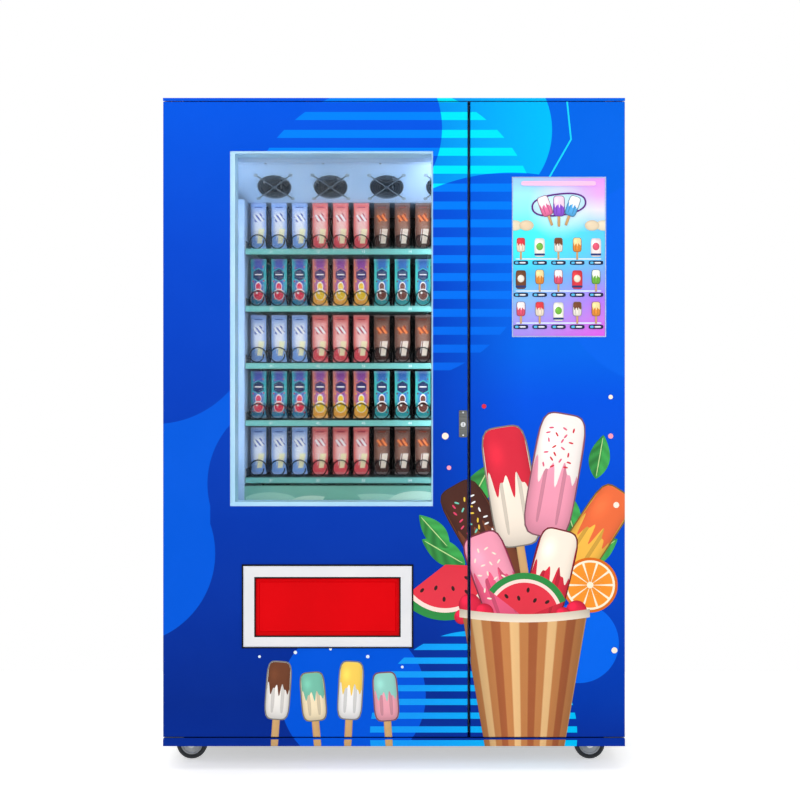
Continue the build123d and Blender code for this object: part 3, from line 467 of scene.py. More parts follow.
MATERIALS = {
    "case_paint": coat((226, 230, 236), (224, 228, 234), 0.45, 0.06, grain=900, bump=0.12),
    "door_wrap": coat(NAVY, (40, 90, 200), 0.42, 0.08, grain=700, paint_over=lay_door_print,
                      Specular_IOR_Level=0.02),
    "liner": coat((222, 236, 246), (212, 230, 243), 0.5, grain=500, bump=0.1),
    # The cold liner carries painted shade: near black on the inner walls behind the goods.
    "cold_liner": coat((200, 222, 240), (190, 214, 235), 0.5, grain=500, bump=0.1, paint_over=lay_deep_shade,
                       Specular_IOR_Level=0.15),
    "dark_metal": coat((44, 50, 58), (56, 62, 70), 0.5, 0.25, 9, 380, 0.2, Metallic=0.6),
    "roof": coat((196, 203, 214), (192, 199, 210), 0.42, 0.08, 5, 500, 0.1),
    "zinc": coat((176, 181, 186), (150, 156, 163), 0.38, 0.3, 26, 340, 0.15, Metallic=0.9),
    "seal": coat((58, 62, 68), (48, 52, 58), 0.62, 0.2, 20, 600, 0.2),
    "white_plastic": coat((233, 233, 234), (227, 228, 230), 0.36, grain=650, bump=0.1),
    "window_trim": coat((188, 230, 252), (172, 220, 247), 0.35, grain=500, bump=0.06),
    "red_plastic": coat((228, 0, 10), (220, 0, 8), 0.4, 0.12, 5, 420, 0.08, Specular_IOR_Level=0.05),
    "steel": coat((196, 198, 200), (168, 171, 175), 0.32, 0.35, 12, 260, 0.22, (1, 1, 40), Metallic=1.0),
    "silver": coat((160, 178, 208), (144, 164, 198), 0.35, 0.25, 14, 300, 0.12, (1, 1, 20), Metallic=0.5),
    "white_paint": coat((184, 214, 246), (172, 205, 240), 0.45, grain=600, bump=0.1),
    "gasket": coat((6, 6, 8), (12, 12, 15), 0.6, 0.2, 20, 600, 0.1, Specular_IOR_Level=0.1),
    # The rings and caps are a darker copy of the guard wire: painted shade in the fan recesses.
    "shaded_ring_wire": coat((92, 106, 120), (78, 92, 106), 0.45, 0.2, 30, 400, 0.1),
    "guard_wire": coat((158, 176, 192), (138, 157, 174), 0.4, 0.2, 30, 400, 0.1),
    # The trays are near black all over: painted shade for the dark gaps between the packs.
    "tray_metal": coat((20, 22, 26), (28, 31, 36), 0.45, 0.2, 12, 300, 0.1, Specular_IOR_Level=0.1),
    "lock_steel": coat((104, 106, 104), (80, 82, 80), 0.5, 0.3, 30, 260, 0.2, (1, 1, 30), Metallic=0.35),
    "grille": coat((120, 126, 134), (108, 114, 122), 0.45, grain=500, bump=0.1),
    "green_sheet": coat((114, 182, 162), (104, 172, 152), 0.45, grain=420, bump=0.08),
    "mint": coat((108, 182, 172), (98, 172, 162), 0.42, grain=420, bump=0.08),
    "spiral_wire": coat((5, 6, 8), (10, 11, 13), 0.42, 0.2, 40, 500, 0.1, Specular_IOR_Level=0.06),
    "fins": coat((190, 196, 201), (164, 171, 178), 0.4, 0.3, 18, 260, 0.2, (1, 1, 12), Metallic=0.9),
    "black_plastic": coat((27, 29, 33), (38, 41, 46), 0.5, 0.2, 14, 500, 0.15, Specular_IOR_Level=0.25),
    "bag": coat((255, 255, 255), (200, 205, 215), 0.34, 0.2, 60, 900, 0.25, paint_over=lay_wrapper_print,
                Specular_IOR_Level=0.12),
    "caster_steel": coat((200, 203, 201), (170, 174, 174), 0.3, 0.3, 30, 300, 0.15, Metallic=0.9),
    "tyre": coat((33, 36, 39), (46, 50, 54), 0.6, 0.25, 30, 700, 0.35),
    "hub": coat((206, 208, 208), (184, 187, 189), 0.42, 0.2, 22, 420, 0.12),
    "ink": coat((255, 255, 255), (210, 214, 224), 0.42, 0.1, 12, 700, paint_over=lay_ink,
                Specular_IOR_Level=0.05),
    "light": coat((236, 246, 255), (228, 240, 255), 0.5, 0.1, 4, 90, 0, Emission_Strength=18.0),
    "screen": coat((255, 255, 255), (235, 240, 255), 0.12, 0.05, 5, 120, 0, paint_over=lay_display_sky,
                   Emission_Strength=0.2, Specular_IOR_Level=0.12),
    "glass": coat((238, 248, 252), (244, 250, 253), 0.03, 0.02, 3, 60, 0, Transmission_Weight=1.0, IOR=1.45,
                  Alpha=0.045),
}
for title, material in MATERIALS.items():
    material.name = title.replace("_", " ") + " finish"


# Meshes from tables of points
def grid(*parts):
    """Tables of coordinates, or single ones, brought to one shape and put side by side."""
    return np.stack(np.broadcast_arrays(*parts), -1)


def unit(vectors):
    """Vectors divided by their length."""
    return vectors / np.linalg.norm(vectors, axis=-1, keepdims=True)


def quads(copies, rows, columns):
    """Four neighbours of every table make a face: (i, j), (i, j+1), (i+1, j+1), (i+1, j)."""
    index = np.arange(copies * rows * columns).reshape(copies, rows, columns)
    corners = (index[:, :-1, :-1], index[:, :-1, 1:], index[:, 1:, 1:], index[:, 1:, :-1])
    return np.stack(corners, -1).reshape(-1, 4)


def hang(mesh, body, finish_name):
    """A mesh as a piece that rides on a body, in a finish."""
    made = bpy.data.objects.new(mesh.name, mesh)
    bpy.context.scene.collection.objects.link(made)
    mesh.materials.append(MATERIALS[finish_name])
    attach(made, body)
    return made


def build(name, tables, body, finish_name, closed=True, smooth=None, maps=None, inks=None):
    """One piece from tables of points (rows, columns, 3) or stacks of them. Equal points are
    joined. A closed shell has its faces turned outwards. smooth is the angle in degrees above
    which an edge stays sharp."""
    stacks = [t if t.ndim == 4 else t[None] for t in tables]
    starts = np.cumsum([0] + [math.prod(t.shape[:3]) for t in stacks])
    points = np.concatenate([t.reshape(-1, 3) for t in stacks]) * MM
    faces = np.concatenate([quads(*t.shape[:3]) + s for t, s in zip(stacks, starts)])
    mesh = bpy.data.meshes.new(name)
    mesh.from_pydata(points.tolist(), [], faces.tolist())
    if maps is not None:
        flat = np.concatenate([m.reshape(-1, 2) for m in maps])[faces.ravel()]
        mesh.uv_layers.new(name="map").data.foreach_set("uv", flat.astype(np.float32).ravel())
    if inks is not None:
        tints = np.concatenate([i.reshape(-1, 3) for i in inks])
        tints = np.column_stack([tints, np.ones(len(tints))]).astype(np.float32)
        mesh.color_attributes.new("ink", "FLOAT_COLOR", "POINT").data.foreach_set("color", tints.ravel())
    work = bmesh.new()
    work.from_mesh(mesh)
    bmesh.ops.remove_doubles(work, verts=work.verts, dist=0.002 * MM)
    if closed:
        bmesh.ops.recalc_face_normals(work, faces=work.faces)
    work.to_mesh(mesh)
    work.free()
    if smooth:
        mesh.shade_smooth()
        mesh.set_sharp_from_angle(angle=math.radians(smooth))
    return hang(mesh, body, finish_name)


def capped(rings):
    """A closed shell from rings of points: a flat end is drawn in to the ring's middle."""
    middles = rings[..., [0, -1], :-1, :].mean(-2, keepdims=True)
    middles = np.broadcast_to(middles, (*rings.shape[:-3], 2, rings.shape[-2], 3))
    return np.concatenate([middles[..., :1, :, :], rings, middles[..., 1:, :, :]], -3)


def slab(area, y0, y1):
    """A flat plate: its outline in X and Z at two depths, with both ends closed."""
    x0, x1, z0, z1 = area
    x, z = np.array([(x0, z0), (x1, z0), (x1, z1), (x0, z1), (x0, z0)], float).T
    return capped(grid(x, np.array([[y0], [y1]], float), z))


def frame_ring(area, profile):
    """A closed profile of (inset, depth) carried round a rectangle: at each corner a point
    moves in by its inset along both sides."""
    x0, x1, z0, z1 = area
    inset, depth = np.array(profile + profile[:1], float).T
    corners = [(x0, z0, 1, 1), (x1, z0, -1, 1), (x1, z1, -1, -1), (x0, z1, 1, -1), (x0, z0, 1, 1)]
    x, z, right, up = np.array(corners).T[..., None]
    return grid(x + right * inset, depth, z + up * inset)


def turned(profile, start, axis, steps=32, across=None):
    """A profile of (distance along the axis, radius) turned once round it. Its first and last
    radius are zero where the form is closed."""
    axis = unit(np.array(axis, float))
    if across is None:
        across = np.cross(axis, (0, 0, 1) if abs(axis[2]) < 0.9 else (1, 0, 0))
    side = unit(np.array(across, float))
    other = np.cross(axis, side)
    angle = np.linspace(0, TURN, steps + 1)[:, None, None]
    along, radius = np.array(profile, float).T[:, None, :, None]
    spoke = np.cos(angle) * side + np.sin(angle) * other
    return np.array(start, float) + along * axis + radius * spoke


def wire_rings(line, side, other, radius, sides):
    """At each point of a line a circle, in the plane of two directions that are square to it."""
    angle = np.linspace(0, TURN, sides + 1)[None, :, None]
    return line[:, None] + radius * (np.cos(angle) * side[:, None] + np.sin(angle) * other[:, None])


def tube(path, radius, sides=8, closed=False):
    """A round tube along a path of points: at each point a circle stands square to the path,
    and its ends are drawn in to the middle unless the path closes."""
    path = np.array(path, float)
    way = np.gradient(path, axis=0)
    if closed:
        way[0] = way[-1] = path[1] - path[-2]
    way = unit(way)
    flattest = np.argmin(np.ptp(path, axis=0))
    side = unit(np.cross(way, np.eye(3)[flattest]))
    rings = wire_rings(path, side, np.cross(way, side), radius, sides)
    return rings if closed else capped(rings)


# Spirals
COUPLER_HALF = 4.0
BOSS_RADIUS = 6.0


def spiral_tables(x, z, steps, sides):
    """One spiral about its axis: its line turns while it moves from the back to the front, and a
    circle stands square to that line. A flat arm holds the wire's back end, and a boss sits on
    the motor's shaft."""
    turn = np.linspace(0, coil_turns, coil_turns * steps + 1)
    cos, sin, none = np.cos(TURN * turn), np.sin(TURN * turn), 0 * turn
    outward = grid(cos, none, sin)
    line = coil_radius * outward + grid(none, coil_rear - coil_pitch * turn, none)
    rise = TURN * coil_radius
    way = unit(grid(-rise * sin, none - coil_pitch, rise * cos))
    rings = wire_rings(line, outward, np.cross(way, outward), wire, sides)
    reach, seat = coil_radius + wire, coil_rear + coupler_thick
    arm = slab((x - reach, x + reach, z - COUPLER_HALF, z + COUPLER_HALF), coil_rear - wire, seat)
    length = coil_end - seat
    boss = [(0, 0), (0, BOSS_RADIUS), (length, BOSS_RADIUS), (length, 0)]
    return [capped(rings) + np.array([x, 0, z]), arm, turned(boss, (x, seat, z), (0, 1, 0), 16)]


def make_spirals():
    """Nine turning spirals on the top tray, and nine on each tray below it."""
    for k, x in enumerate(lane_x, 1):
        coil = build(f"coil_{k}", spiral_tables(x, coil_axis, 32, 8), f"spiral_{k}", "spiral_wire", smooth=40)
        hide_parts(f"spiral_{k}")
    for k in range(2, 6):
        level = coil_axis - (k - 1) * tray_step
        tables = [table for x in lane_x for table in spiral_tables(x, level, 20, 6)]
        build(f"coils_{k}", tables, f"tray_{k}", "spiral_wire", smooth=40)


# Packs
CRIMP = 0.055
PACK_LIFT = 4.6
PACK_LEVELS = [0, 8, 17, 26, 42, 60, 130, 138, 146]
PACK_HALVES = [24.5, 24.2, 21.8, 21.4, 23.2, 24.2, 23.6, 24.3, 24.5]


def pack_table(across_steps, up_steps):
    """A bag about its foot and its map: round its girth by an angle and up by a share. Its half
    width is wide at both crimps and narrows where the wire passes. Its half depth swells between
    the crimps as a sine to a low power, with faint creases, and thins to the sides. The crimps
    wave, and both ends are drawn in to the middle of their points."""
    angle = np.linspace(0, TURN, across_steps + 1)[None, :]
    share = np.linspace(0, 1, up_steps + 1)
    share = np.sort(np.concatenate([share, [CRIMP, CRIMP * 0.5, 1 - CRIMP, 1 - CRIMP * 0.5]]))[:, None]
    height = share * PACK_SIZE[1]
    inner = np.clip((share - CRIMP) / (1 - 2 * CRIMP), 0, 1)
    depth = 0.5 + 9.3 * np.sin(math.pi * inner) ** 0.6
    depth = depth * (1 + 0.05 * np.sin(9 * angle) * (1 - np.abs(2 * inner - 1)) ** 0.3)
    x = np.interp(height, PACK_LEVELS, PACK_HALVES) * np.cos(angle)
    y = depth * np.sign(np.sin(angle)) * np.abs(np.sin(angle)) ** 1.5
    comb = 0.35 * np.sin(x * 2.2) * (inner * (1 - inner) == 0)
    table = grid(x, y + comb, height)
    ends = np.broadcast_to(table[[0, -1]].mean(1, keepdims=True), (2, *table.shape[1:]))
    around = np.where(np.sin(angle) <= 0, (np.cos(angle) + 1) / 2, 1 + (1 - np.cos(angle)) / 2)
    mapped = np.clip(grid(around, share), [0.002, 0], [1.998, 1])
    return np.concatenate([ends[:1], table, ends[1:]]), np.concatenate([mapped[:1], mapped, mapped[-1:]])


def make_packs():
    """Three rows of bags in every lane: the front row fine, those behind it plainer. Three lanes
    side by side have one design, and the trays take the first three and the last three in turn."""
    rows = [pack_table(28, 22), pack_table(12, 8), pack_table(12, 8)]
    for k in range(5):
        floor = tray_floor - k * tray_step + PACK_LIFT
        designs = grid(2.0 * (3 * (k % 2) + np.arange(9) // 3), 0.0)[:, None, None]
        feet = [grid(lane_x, pack_plane + row * coil_pitch, floor)[:, None, None] for row in range(3)]
        tables = [table + foot for (table, _), foot in zip(rows, feet)]
        maps = [mapped + designs for _, mapped in rows]
        made = build(f"bags_{k + 1}", tables, f"tray_{k + 1}", "bag", smooth=50, maps=maps)
        if k:
            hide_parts(f"packs_{k + 1}")


# Price rails
RAIL_TOP, RAIL_FOOT = 0.9, 18.7
RAIL_EDGE = [(0.1, 0), (1.9, 0.8), (1.9, 2.4), (1.2, 3)]
LANE_MARKS = (-376, -233, -94, 48)
DIGIT_HEIGHT = 11
DIGIT_FACE, DIGIT_FOOT = 1.4, 13.6


def digits(text, x, y, z):
    """Plain digits as flat triangles, centred on x and standing on z, faced to the front."""
    curve = bpy.data.curves.new("digits", "FONT")
    curve.body, curve.size, curve.align_x, curve.resolution_u = text, DIGIT_HEIGHT, "CENTER", 3
    holder = bpy.data.objects.new("digits", curve)
    bpy.context.scene.collection.objects.link(holder)
    bpy.context.view_layer.update()
    mesh = bpy.data.meshes.new_from_object(holder)
    bpy.data.objects.remove(holder)
    flat = np.zeros(len(mesh.vertices) * 3)
    mesh.vertices.foreach_get("co", flat)
    corners = np.zeros(len(mesh.loops), int)
    mesh.loops.foreach_get("vertex_index", corners)
    flat = flat.reshape(-1, 3)
    return grid(flat[:, 0] + x, y, flat[:, 1] + z), corners.reshape(-1, 3)


def make_price_rails():
    """A mint rail with a lipped edge over each tray's strip, with plain lane numbers on it."""
    for k, (low, high) in enumerate(tray_boxes, 1):
        floor, front = tray_floor - (k - 1) * tray_step, low[1]
        top, foot = floor - RAIL_TOP, floor - RAIL_FOOT
        edge = [(front - out, foot + rise) for out, rise in RAIL_EDGE]
        edge += [(front - out, top - rise) for out, rise in RAIL_EDGE[::-1]]
        y, z = np.array(edge + edge[:1]).T
        rings = grid([[low[0] + 0.5], [high[0] - 0.5]], y, z)
        build(f"rail_{k}", [capped(rings)], f"tray_{k}", "mint")
        marks = [digits(f"{k}{lane}", x, front - DIGIT_FACE, floor - DIGIT_FOOT)
                 for lane, x in enumerate(LANE_MARKS, 1)]
        starts = np.cumsum([0] + [len(points) for points, _ in marks])
        points = np.concatenate([points for points, _ in marks]) * MM
        faces = np.concatenate([corners + start for (_, corners), start in zip(marks, starts)])
        mesh = bpy.data.meshes.new(f"rail_numbers_{k}")
        mesh.from_pydata(points.tolist(), [], faces.tolist())
        hang(mesh, f"tray_{k}", "white_plastic")


# Door hardware and the cold space
FLAP_HOLE = (-404.5, 19.5, 387.7, 561.7)
LOCK_LEVEL = 1003.0
LOCK_SCREWS = (-31, 35)


def make_seal():
    """A bellows seal carried round the door: its profile folds in twice between the faces."""
    low, high = extent("door_seal")
    y0, y1 = low[1], high[1]
    mid = (y0 + y1) / 2
    profile = [(1, y0), (2, y0 + 2), (5, mid - 1.5), (1.5, mid), (5, mid + 1.5), (0.5, y1 - 1.5), (2, y1),
               (16, y1), (17.5, y1 - 1.5), (13, mid + 1.5), (16.5, mid), (13, mid - 1.5), (16, y0 + 2),
               (17, y0)]
    bellows = frame_ring(front_area("door_seal"), profile)
    seal = build("bellows_seal", [bellows], "left_door", "seal", smooth=50)
    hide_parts("door_seal")


def make_pickup_trim():
    """Thin dark gaskets: one round the white bezel's foot and one inside the flap's hole."""
    bezel = extent("pickup_frame")[0][1]
    dark = [(0, door_face - 3.1), (0, door_face), (-5.2, door_face), (-5.2, door_face - 1.6),
            (-4.2, door_face - 3.1)]
    rim = [(0, bezel + 0.1), (0, bezel + 2.6), (4.2, bezel + 2.6), (4.2, bezel + 0.5)]
    rings = [frame_ring(front_area("pickup_frame", 0.4), dark), frame_ring(FLAP_HOLE, rim)]
    build("pickup_gaskets", rings, "left_door", "gasket")


def make_lips():
    """The roof sheet's front lip over the doors, and the kick strip's under them: thin bars."""
    cap_low, cap_high = extent("roof_cap")
    door_top = extent("left_door_skin")[1][2]
    over = slab((cap_low[0], cap_high[0], door_top + 1.6, cap_high[2]), cap_low[1] - 0.3, cap_low[1] + 2)
    x0, x1, _, z1 = front_area("kick_strip", 1, 0)
    front = door_face + 0.4
    under = slab((x0, x1, z1 - 0.5, z1 + 3.6), front, front + 3)
    build("drip_lips", [over, under], "cabinet", "door_wrap")


def make_lock_face():
    """The key slot, a dark bar on the barrel's face, a raised rim round it, and a screw above
    and below it on the plate."""
    x, z = middle("lock_plate")[0], LOCK_LEVEL
    face, plate = extent("lock_barrel")[0][1], extent("lock_plate")[0][1]
    slot = slab((x - 0.9, x + 0.9, z - 4.4, z + 4.4), face - 0.15, face + 0.5)
    build("key_slot", [slot], "lock_barrel", "black_plastic")
    rim = turned([(0, 8.6), (-0.7, 8.9), (-0.7, 7.6), (0, 7.3), (0, 8.6)], (x, plate, z), (0, 1, 0), 40)
    build("lock_rim", [rim], "left_door", "lock_steel", smooth=30)
    head = [(0, 0), (-0.5, 1.4), (-0.4, 2.2), (0, 2.6), (0.2, 0)]
    screws = [turned(head, (x, plate, z + dz), (0, 1, 0), 20) for dz in LOCK_SCREWS]
    build("lock_screws", screws, "left_door", "steel", smooth=30)


FAN_FIRST, FAN_PITCH = -367.0, 171.8
FAN_MIDDLE = (-184.9, 1726.1)
RIGHT = np.array([1.0, 0.0, 0.0])
SLOPE_OUT = np.array([0.0, -0.5533, -0.8329])
SLOPE_UP = np.cross(SLOPE_OUT, RIGHT)
GUARD_RADII = (50.0, 43.0, 36.0, 29.0, 22.0)
RING_LEVEL, RING_WIRE, RING_STEPS = 2.6, 0.9, 48
SPOKE_LEVEL, SPOKE_WIRE, SPOKE_REACH = 1.8, 1.15, 74
SCREW_REACH = 52.5
GUARD_CAP = [(1.5, 0), (1.5, 8), (3.6, 7), (3.9, 0)]
GUARD_SCREW = [(0.2, 0), (0.2, 6.5), (1.4, 6.5), (1.6, 3.4), (3.0, 2.9), (3.2, 0)]
CEILING_SCREW = [(0, 0), (0, 3.6), (1.4, 3.0), (1.8, 0)]
CEILING_PLACE = (-280.0, 1782.0)


def make_fan_guards():
    """Over each fan, on the sloping cover: five wire rings and a cap on two crossed spokes, and
    four screws on washers at the corners of a square. One more screw a fan is in the ceiling."""
    wires, spokes, screws, ceiling = [], [], [], []
    angle = np.linspace(0, TURN, RING_STEPS + 1)[:, None]
    circle = np.cos(angle) * RIGHT + np.sin(angle) * SLOPE_UP
    for k in range(4):
        x = FAN_FIRST + k * FAN_PITCH
        centre = np.array([x, *FAN_MIDDLE])
        wires += [tube(centre + SLOPE_OUT * RING_LEVEL + radius * circle, RING_WIRE, 6, closed=True)
                  for radius in GUARD_RADII]
        wires.append(turned(GUARD_CAP, centre, SLOPE_OUT, 28, RIGHT))
        for side in (-1, 1):
            way = (RIGHT + side * SLOPE_UP) / math.sqrt(2)
            path = [centre + SLOPE_OUT * SPOKE_LEVEL + way * t for t in (-SPOKE_REACH, 0, SPOKE_REACH)]
            spokes.append(tube(path, SPOKE_WIRE))
        corners = [centre + SCREW_REACH * (a * RIGHT + b * SLOPE_UP) for a in (-1, 1) for b in (-1, 1)]
        screws += [turned(GUARD_SCREW, spot, SLOPE_OUT, 20, RIGHT) for spot in corners]
        ceiling.append(turned(CEILING_SCREW, (x - 18, *CEILING_PLACE), (0, 0, -1), 18))
    build("fan_guard_wires", wires, "cabinet", "shaded_ring_wire", smooth=50)
    build("fan_guard_spokes", spokes, "cabinet", "guard_wire", smooth=50)
    build("fan_guard_screws", screws, "cabinet", "guard_wire", smooth=35)
    build("ceiling_screws", ceiling, "cabinet", "dark_metal", smooth=35)


def make_lights():
    """An upright light strip on each side of the window, on a channel on the door's back."""
    low, high = extent("window_frame")
    core_back = extent("left_door_core")[1][1]
    z0, z1 = low[2] + 30, high[2] - 30
    strips, channels = [], []
    for x0, x1 in ((low[0] - 24, low[0] - 14), (high[0] + 8, high[0] + 36)):
        channels.append(slab((x0, x1, z0, z1), core_back - 0.2, core_back + 3))
        strips.append(slab((x0 + 2, x1 - 2, z0 + 3, z1 - 3), core_back + 2.5, core_back + 5.5))
    build("light_channels", channels, "left_door", "silver")
    build("light_strips", strips, "left_door", "light")


# Casters and the back
TYRE_HALF, TYRE_DEPTH, TREAD_FALL = 15.0, 13.5, 1.7
HUB_BORE = 6.3
EDGE_SCREWS = 22.0
INLET_PINS = [(-7, -1), (0, 2), (7, -1)]


def mirrored(profile):
    """A profile's points on the other side of its middle, in the opposite order."""
    return [(-along, radius) for along, radius in profile[::-1]]


def make_wheels():
    """Each wheel turned about its axle: a tyre with grooves in its sides, whose tread falls from
    its middle by a power of the distance, on a dished hub."""
    for k in range(1, 5):
        wheel = f"caster_wheel_{k}"
        low, high = extent(wheel)
        radius, half, boss = (high[2] - low[2]) / 2, TYRE_HALF, (high[1] - low[1]) / 2
        inner = radius - TYRE_DEPTH
        tread = [(half * 0.93 * t, radius - TREAD_FALL * abs(t) ** 3.2) for t in np.linspace(-1, 1, 13)]
        sides = [(half, radius - 5), (half, radius - 8), (half - 1.4, radius - 9.2),
                 (half - 1.4, radius - 11), (half - 0.3, radius - 12)]
        tyre = [*tread, *sides, (half - 1.5, inner), (-half + 1.5, inner), *mirrored(sides)]
        dish = [(boss, HUB_BORE), (boss, 10), (9.5, 12), (7, 15), (7, inner - 5), (half - 2.5, inner - 2.5),
                (half - 2.5, inner)]
        hub = dish + mirrored(dish)
        for title, profile, steps, slot in (("tyre", tyre, 64, "tyre"), ("hub", hub, 48, "white_plastic")):
            form = turned(profile + profile[:1], middle(wheel), (0, 1, 0), steps)
            made = build(f"{title}_{k}", [form], wheel, title, smooth=38)
            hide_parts(wheel)


def make_screws(name, spots, finish_name):
    """Low screw heads on the back: a flat cone on a frustum, turned at each spot."""
    head = [(0, 0), (0, 4.0), (1.6, 3.4), (2.4, 0)]
    forms = [turned(head, spot, (0, 1, 0), 20) for spot in spots]
    build(name, forms, "cabinet", finish_name, smooth=35)


def make_rear_details():
    """Screws round the rear grille and along the top and the sides of the back, and the three
    pins of the power inlet."""
    x0, x1, z0, z1 = front_area("rear_grille", 8)
    face = case_high[1]
    spots = [(x, face + 1.2, z) for x in np.linspace(x0, x1, 4) for z in (z0, z1)]
    spots += [(x, face + 1.2, z) for x in (x0, x1) for z in np.linspace(z0, z1, 5)[1:-1]]
    make_screws("grille_screws", spots, "zinc")
    levels = np.linspace(case_low[2] + 40, case_high[2] - 60, 7)
    spots = [(x, face, z) for x in (case_low[0] + EDGE_SCREWS, case_high[0] - EDGE_SCREWS)
             for z in levels if z > z1 or x < 0]
    spots += [(x, face, case_high[2] - EDGE_SCREWS)
              for x in np.linspace(case_low[0] + 140, case_high[0] - 140, 5)]
    make_screws("back_screws", spots, "case_paint")
    x, _, z = middle("power_inlet")
    inlet_back = extent("power_inlet")[1][1]
    pins = [slab((x + dx - 1, x + dx + 1, z + dz - 4, z + dz + 4), face + 0.5, inlet_back - 2)
            for dx, dz in INLET_PINS]
    build("inlet_pins", pins, "cabinet", "steel")


# Print shapes
def tinted(x, z, tint, shade=1.0):
    """A print shape: its points in X and Z, and a colour at each point, made lighter or darker
    by a shade. The tint is one colour, or a table of linear ones."""
    points = grid(x, z)
    tint = np.array(srgb(*tint)[:3]) if isinstance(tint, tuple) else tint
    return points, tint * (np.ones(points.shape[:2]) * shade)[..., None]


def oval(colour, half_x, half_z, power=2.0, rim=0.35, gleam=0.35, steps=40, rings=7):
    """A rounded shape: the outline is a superellipse of a power, the rings are shares of it.
    The shade falls towards the rim and rises about a point to the upper left."""
    share = np.linspace(0, 1, rings)[:, None]
    angle = np.linspace(0, TURN, steps + 1)[None, :]
    reach = share * (np.abs(np.cos(angle)) ** power + np.abs(np.sin(angle)) ** power) ** (-1 / power)
    x, z = reach * np.cos(angle), reach * np.sin(angle)
    near = np.exp(-((x + 0.45) ** 2 + (z - 0.5) ** 2) / 0.18)
    return tinted(x * half_x, z * half_z, colour, 1 - rim * share ** 4 + gleam * near)


def even_oval(colour, half_x, half_z, power=2, steps=20):
    """A rounded shape in one even colour."""
    return oval(colour, half_x, half_z, power, 0, 0, steps, 2)


def moved(shape, x, z, turn=0.0, size=1.0):
    """A print shape, or a list of them, turned, sized and put in place."""
    if isinstance(shape, list):
        return [moved(one, x, z, turn, size) for one in shape]
    points, tint = shape
    c, s = math.cos(math.radians(turn)) * size, math.sin(math.radians(turn)) * size
    return points @ np.array([[c, s], [-s, c]]) + np.array([x, z]), tint


def dots(colour, table, steps=20):
    """Even round dots: each row is a place, a radius and, where it isn't the given one, a
    colour."""
    return [moved(even_oval(own[0] if own else colour, radius, radius, 2, steps), x, z)
            for x, z, radius, *own in table]


def glaze(colour, half_x, top, depth, power, drips=3.0, columns=40, rows=8):
    """The dipped part of a bar: from the bar's upper outline down to a wavy line of drips, the
    sum of two sines."""
    u = np.linspace(-1, 1, columns + 1)[None, :]
    v = np.linspace(0, 1, rows)[:, None]
    upper = top * (1 - np.abs(u) ** power) ** (1 / power)
    waves = 0.16 * np.sin(drips * math.pi * u + 0.8) + 0.1 * np.sin(1.7 * drips * math.pi * u)
    lower = np.minimum(top - depth * (1 + waves), upper)
    z = upper + (lower - upper) * v
    near = np.exp(-((u + 0.45) ** 2 + ((z - top * 0.55) / top) ** 2 * 3) / 0.14)
    return tinted(u * half_x, z, colour, 1 - 0.28 * np.abs(u) ** 5 + 0.3 * near)


def sprinkles(colours, half_x, low, high, count, seed):
    """Short rods strewn over a field: each one steps on by two fixed shares of its sides, which
    keeps them apart."""
    shapes = []
    for k in range(count):
        x = half_x * (2 * math.fmod(0.7549 * (k + seed), 1) - 1)
        z = low + (high - low) * math.fmod(0.5698 * (k + seed), 1)
        rod = oval(colours[k % len(colours)], 6.5, 2.4, 3, 0.1, 0.1, 10, 2)
        shapes.append(moved(rod, x, z, 67.0 * k))
    return [shapes]


def lolly(body, dip, half_x, half_z, extra=()):
    """A bar on a stick, about the bar's middle: a dark edge behind it, two grooves down it, and
    a dip over its top."""
    dark, groove = (tuple(int(c * share) for c in body) for share in (0.5, 0.86))
    shapes = [moved(oval((212, 168, 112), 11, 52, 8, 0.25, 0.1), 0, -half_z - 34),
              oval(dark, half_x + 3.5, half_z + 3.5, 5, 0.0, 0.0),
              oval(body, half_x, half_z, 5)]
    shapes += [moved(oval(groove, 5, half_z * 0.66, 4, 0.1, 0.0, 20, 3), side * half_x, -half_z * 0.14)
               for side in (-0.42, 0.42)]
    return [*shapes, glaze(dip, half_x - 0.5, half_z - 0.5, half_z * 0.95, 5), *extra]


def tub(colours, half_top, half_foot, height, columns=78):
    """A paper tub from above its foot: its sides lean in, with upright stripes and shaded
    edges, and a rolled rim at the top. Its level lines sag as a parabola."""
    u = np.linspace(-1, 1, columns + 1)
    u = np.sort(np.concatenate([u, u[1:-1] + 1e-4]))[None, :]
    v = np.linspace(0, 1, 9)[:, None]
    sag = 14 * (1 - u ** 2)
    band = (np.floor((u + 1) / 2 * 13 + 1e-6).astype(int) % len(colours))
    tint = np.array([srgb(*c)[:3] for c in colours])[band]
    shade = 1 - 0.42 * np.abs(u) ** 3 + 0.12 * np.exp(-((u + 0.35) / 0.18) ** 2)
    half = half_foot + (half_top - half_foot) * v
    body = tinted(u * half, v * height - sag * (0.6 + 0.4 * v), tint, shade)
    w = np.linspace(0, 1, 4)[:, None]
    rim_shade = 1 - 0.3 * np.abs(u) ** 4 - 0.2 * w
    return [body, tinted(u * (half_top + 7), height - sag + 22 * (w - 0.5), (250, 236, 214), rim_shade)]


def wedge(radius, start, end, bands, seeds=7):
    """A slice: rings of flesh and rind between two angles. Each band is an outer share and its
    colour. Small dark seeds lie on two arcs in the flesh, by turns."""
    flesh, pips, inner = [], [], 0.0
    angle = np.radians(np.linspace(start, end, 31))[None, :]
    for outer, colour in bands:
        share = np.linspace(inner + 0.001, outer, 3)[:, None]
        reach = share * radius
        flesh.append(tinted(reach * np.cos(angle), reach * np.sin(angle), colour, 0.94 + 0.1 * share))
        inner = outer
    for k in range(seeds):
        pip = moved(oval((52, 22, 20), 4.2, 7, 2, 0.1, 0.2, 14, 3), 0, radius * (0.45 if k % 2 else 0.62))
        pips.append(moved(pip, 0, 0, start + (end - start) * (k + 0.5) / seeds - 90))
    return [flesh, pips]


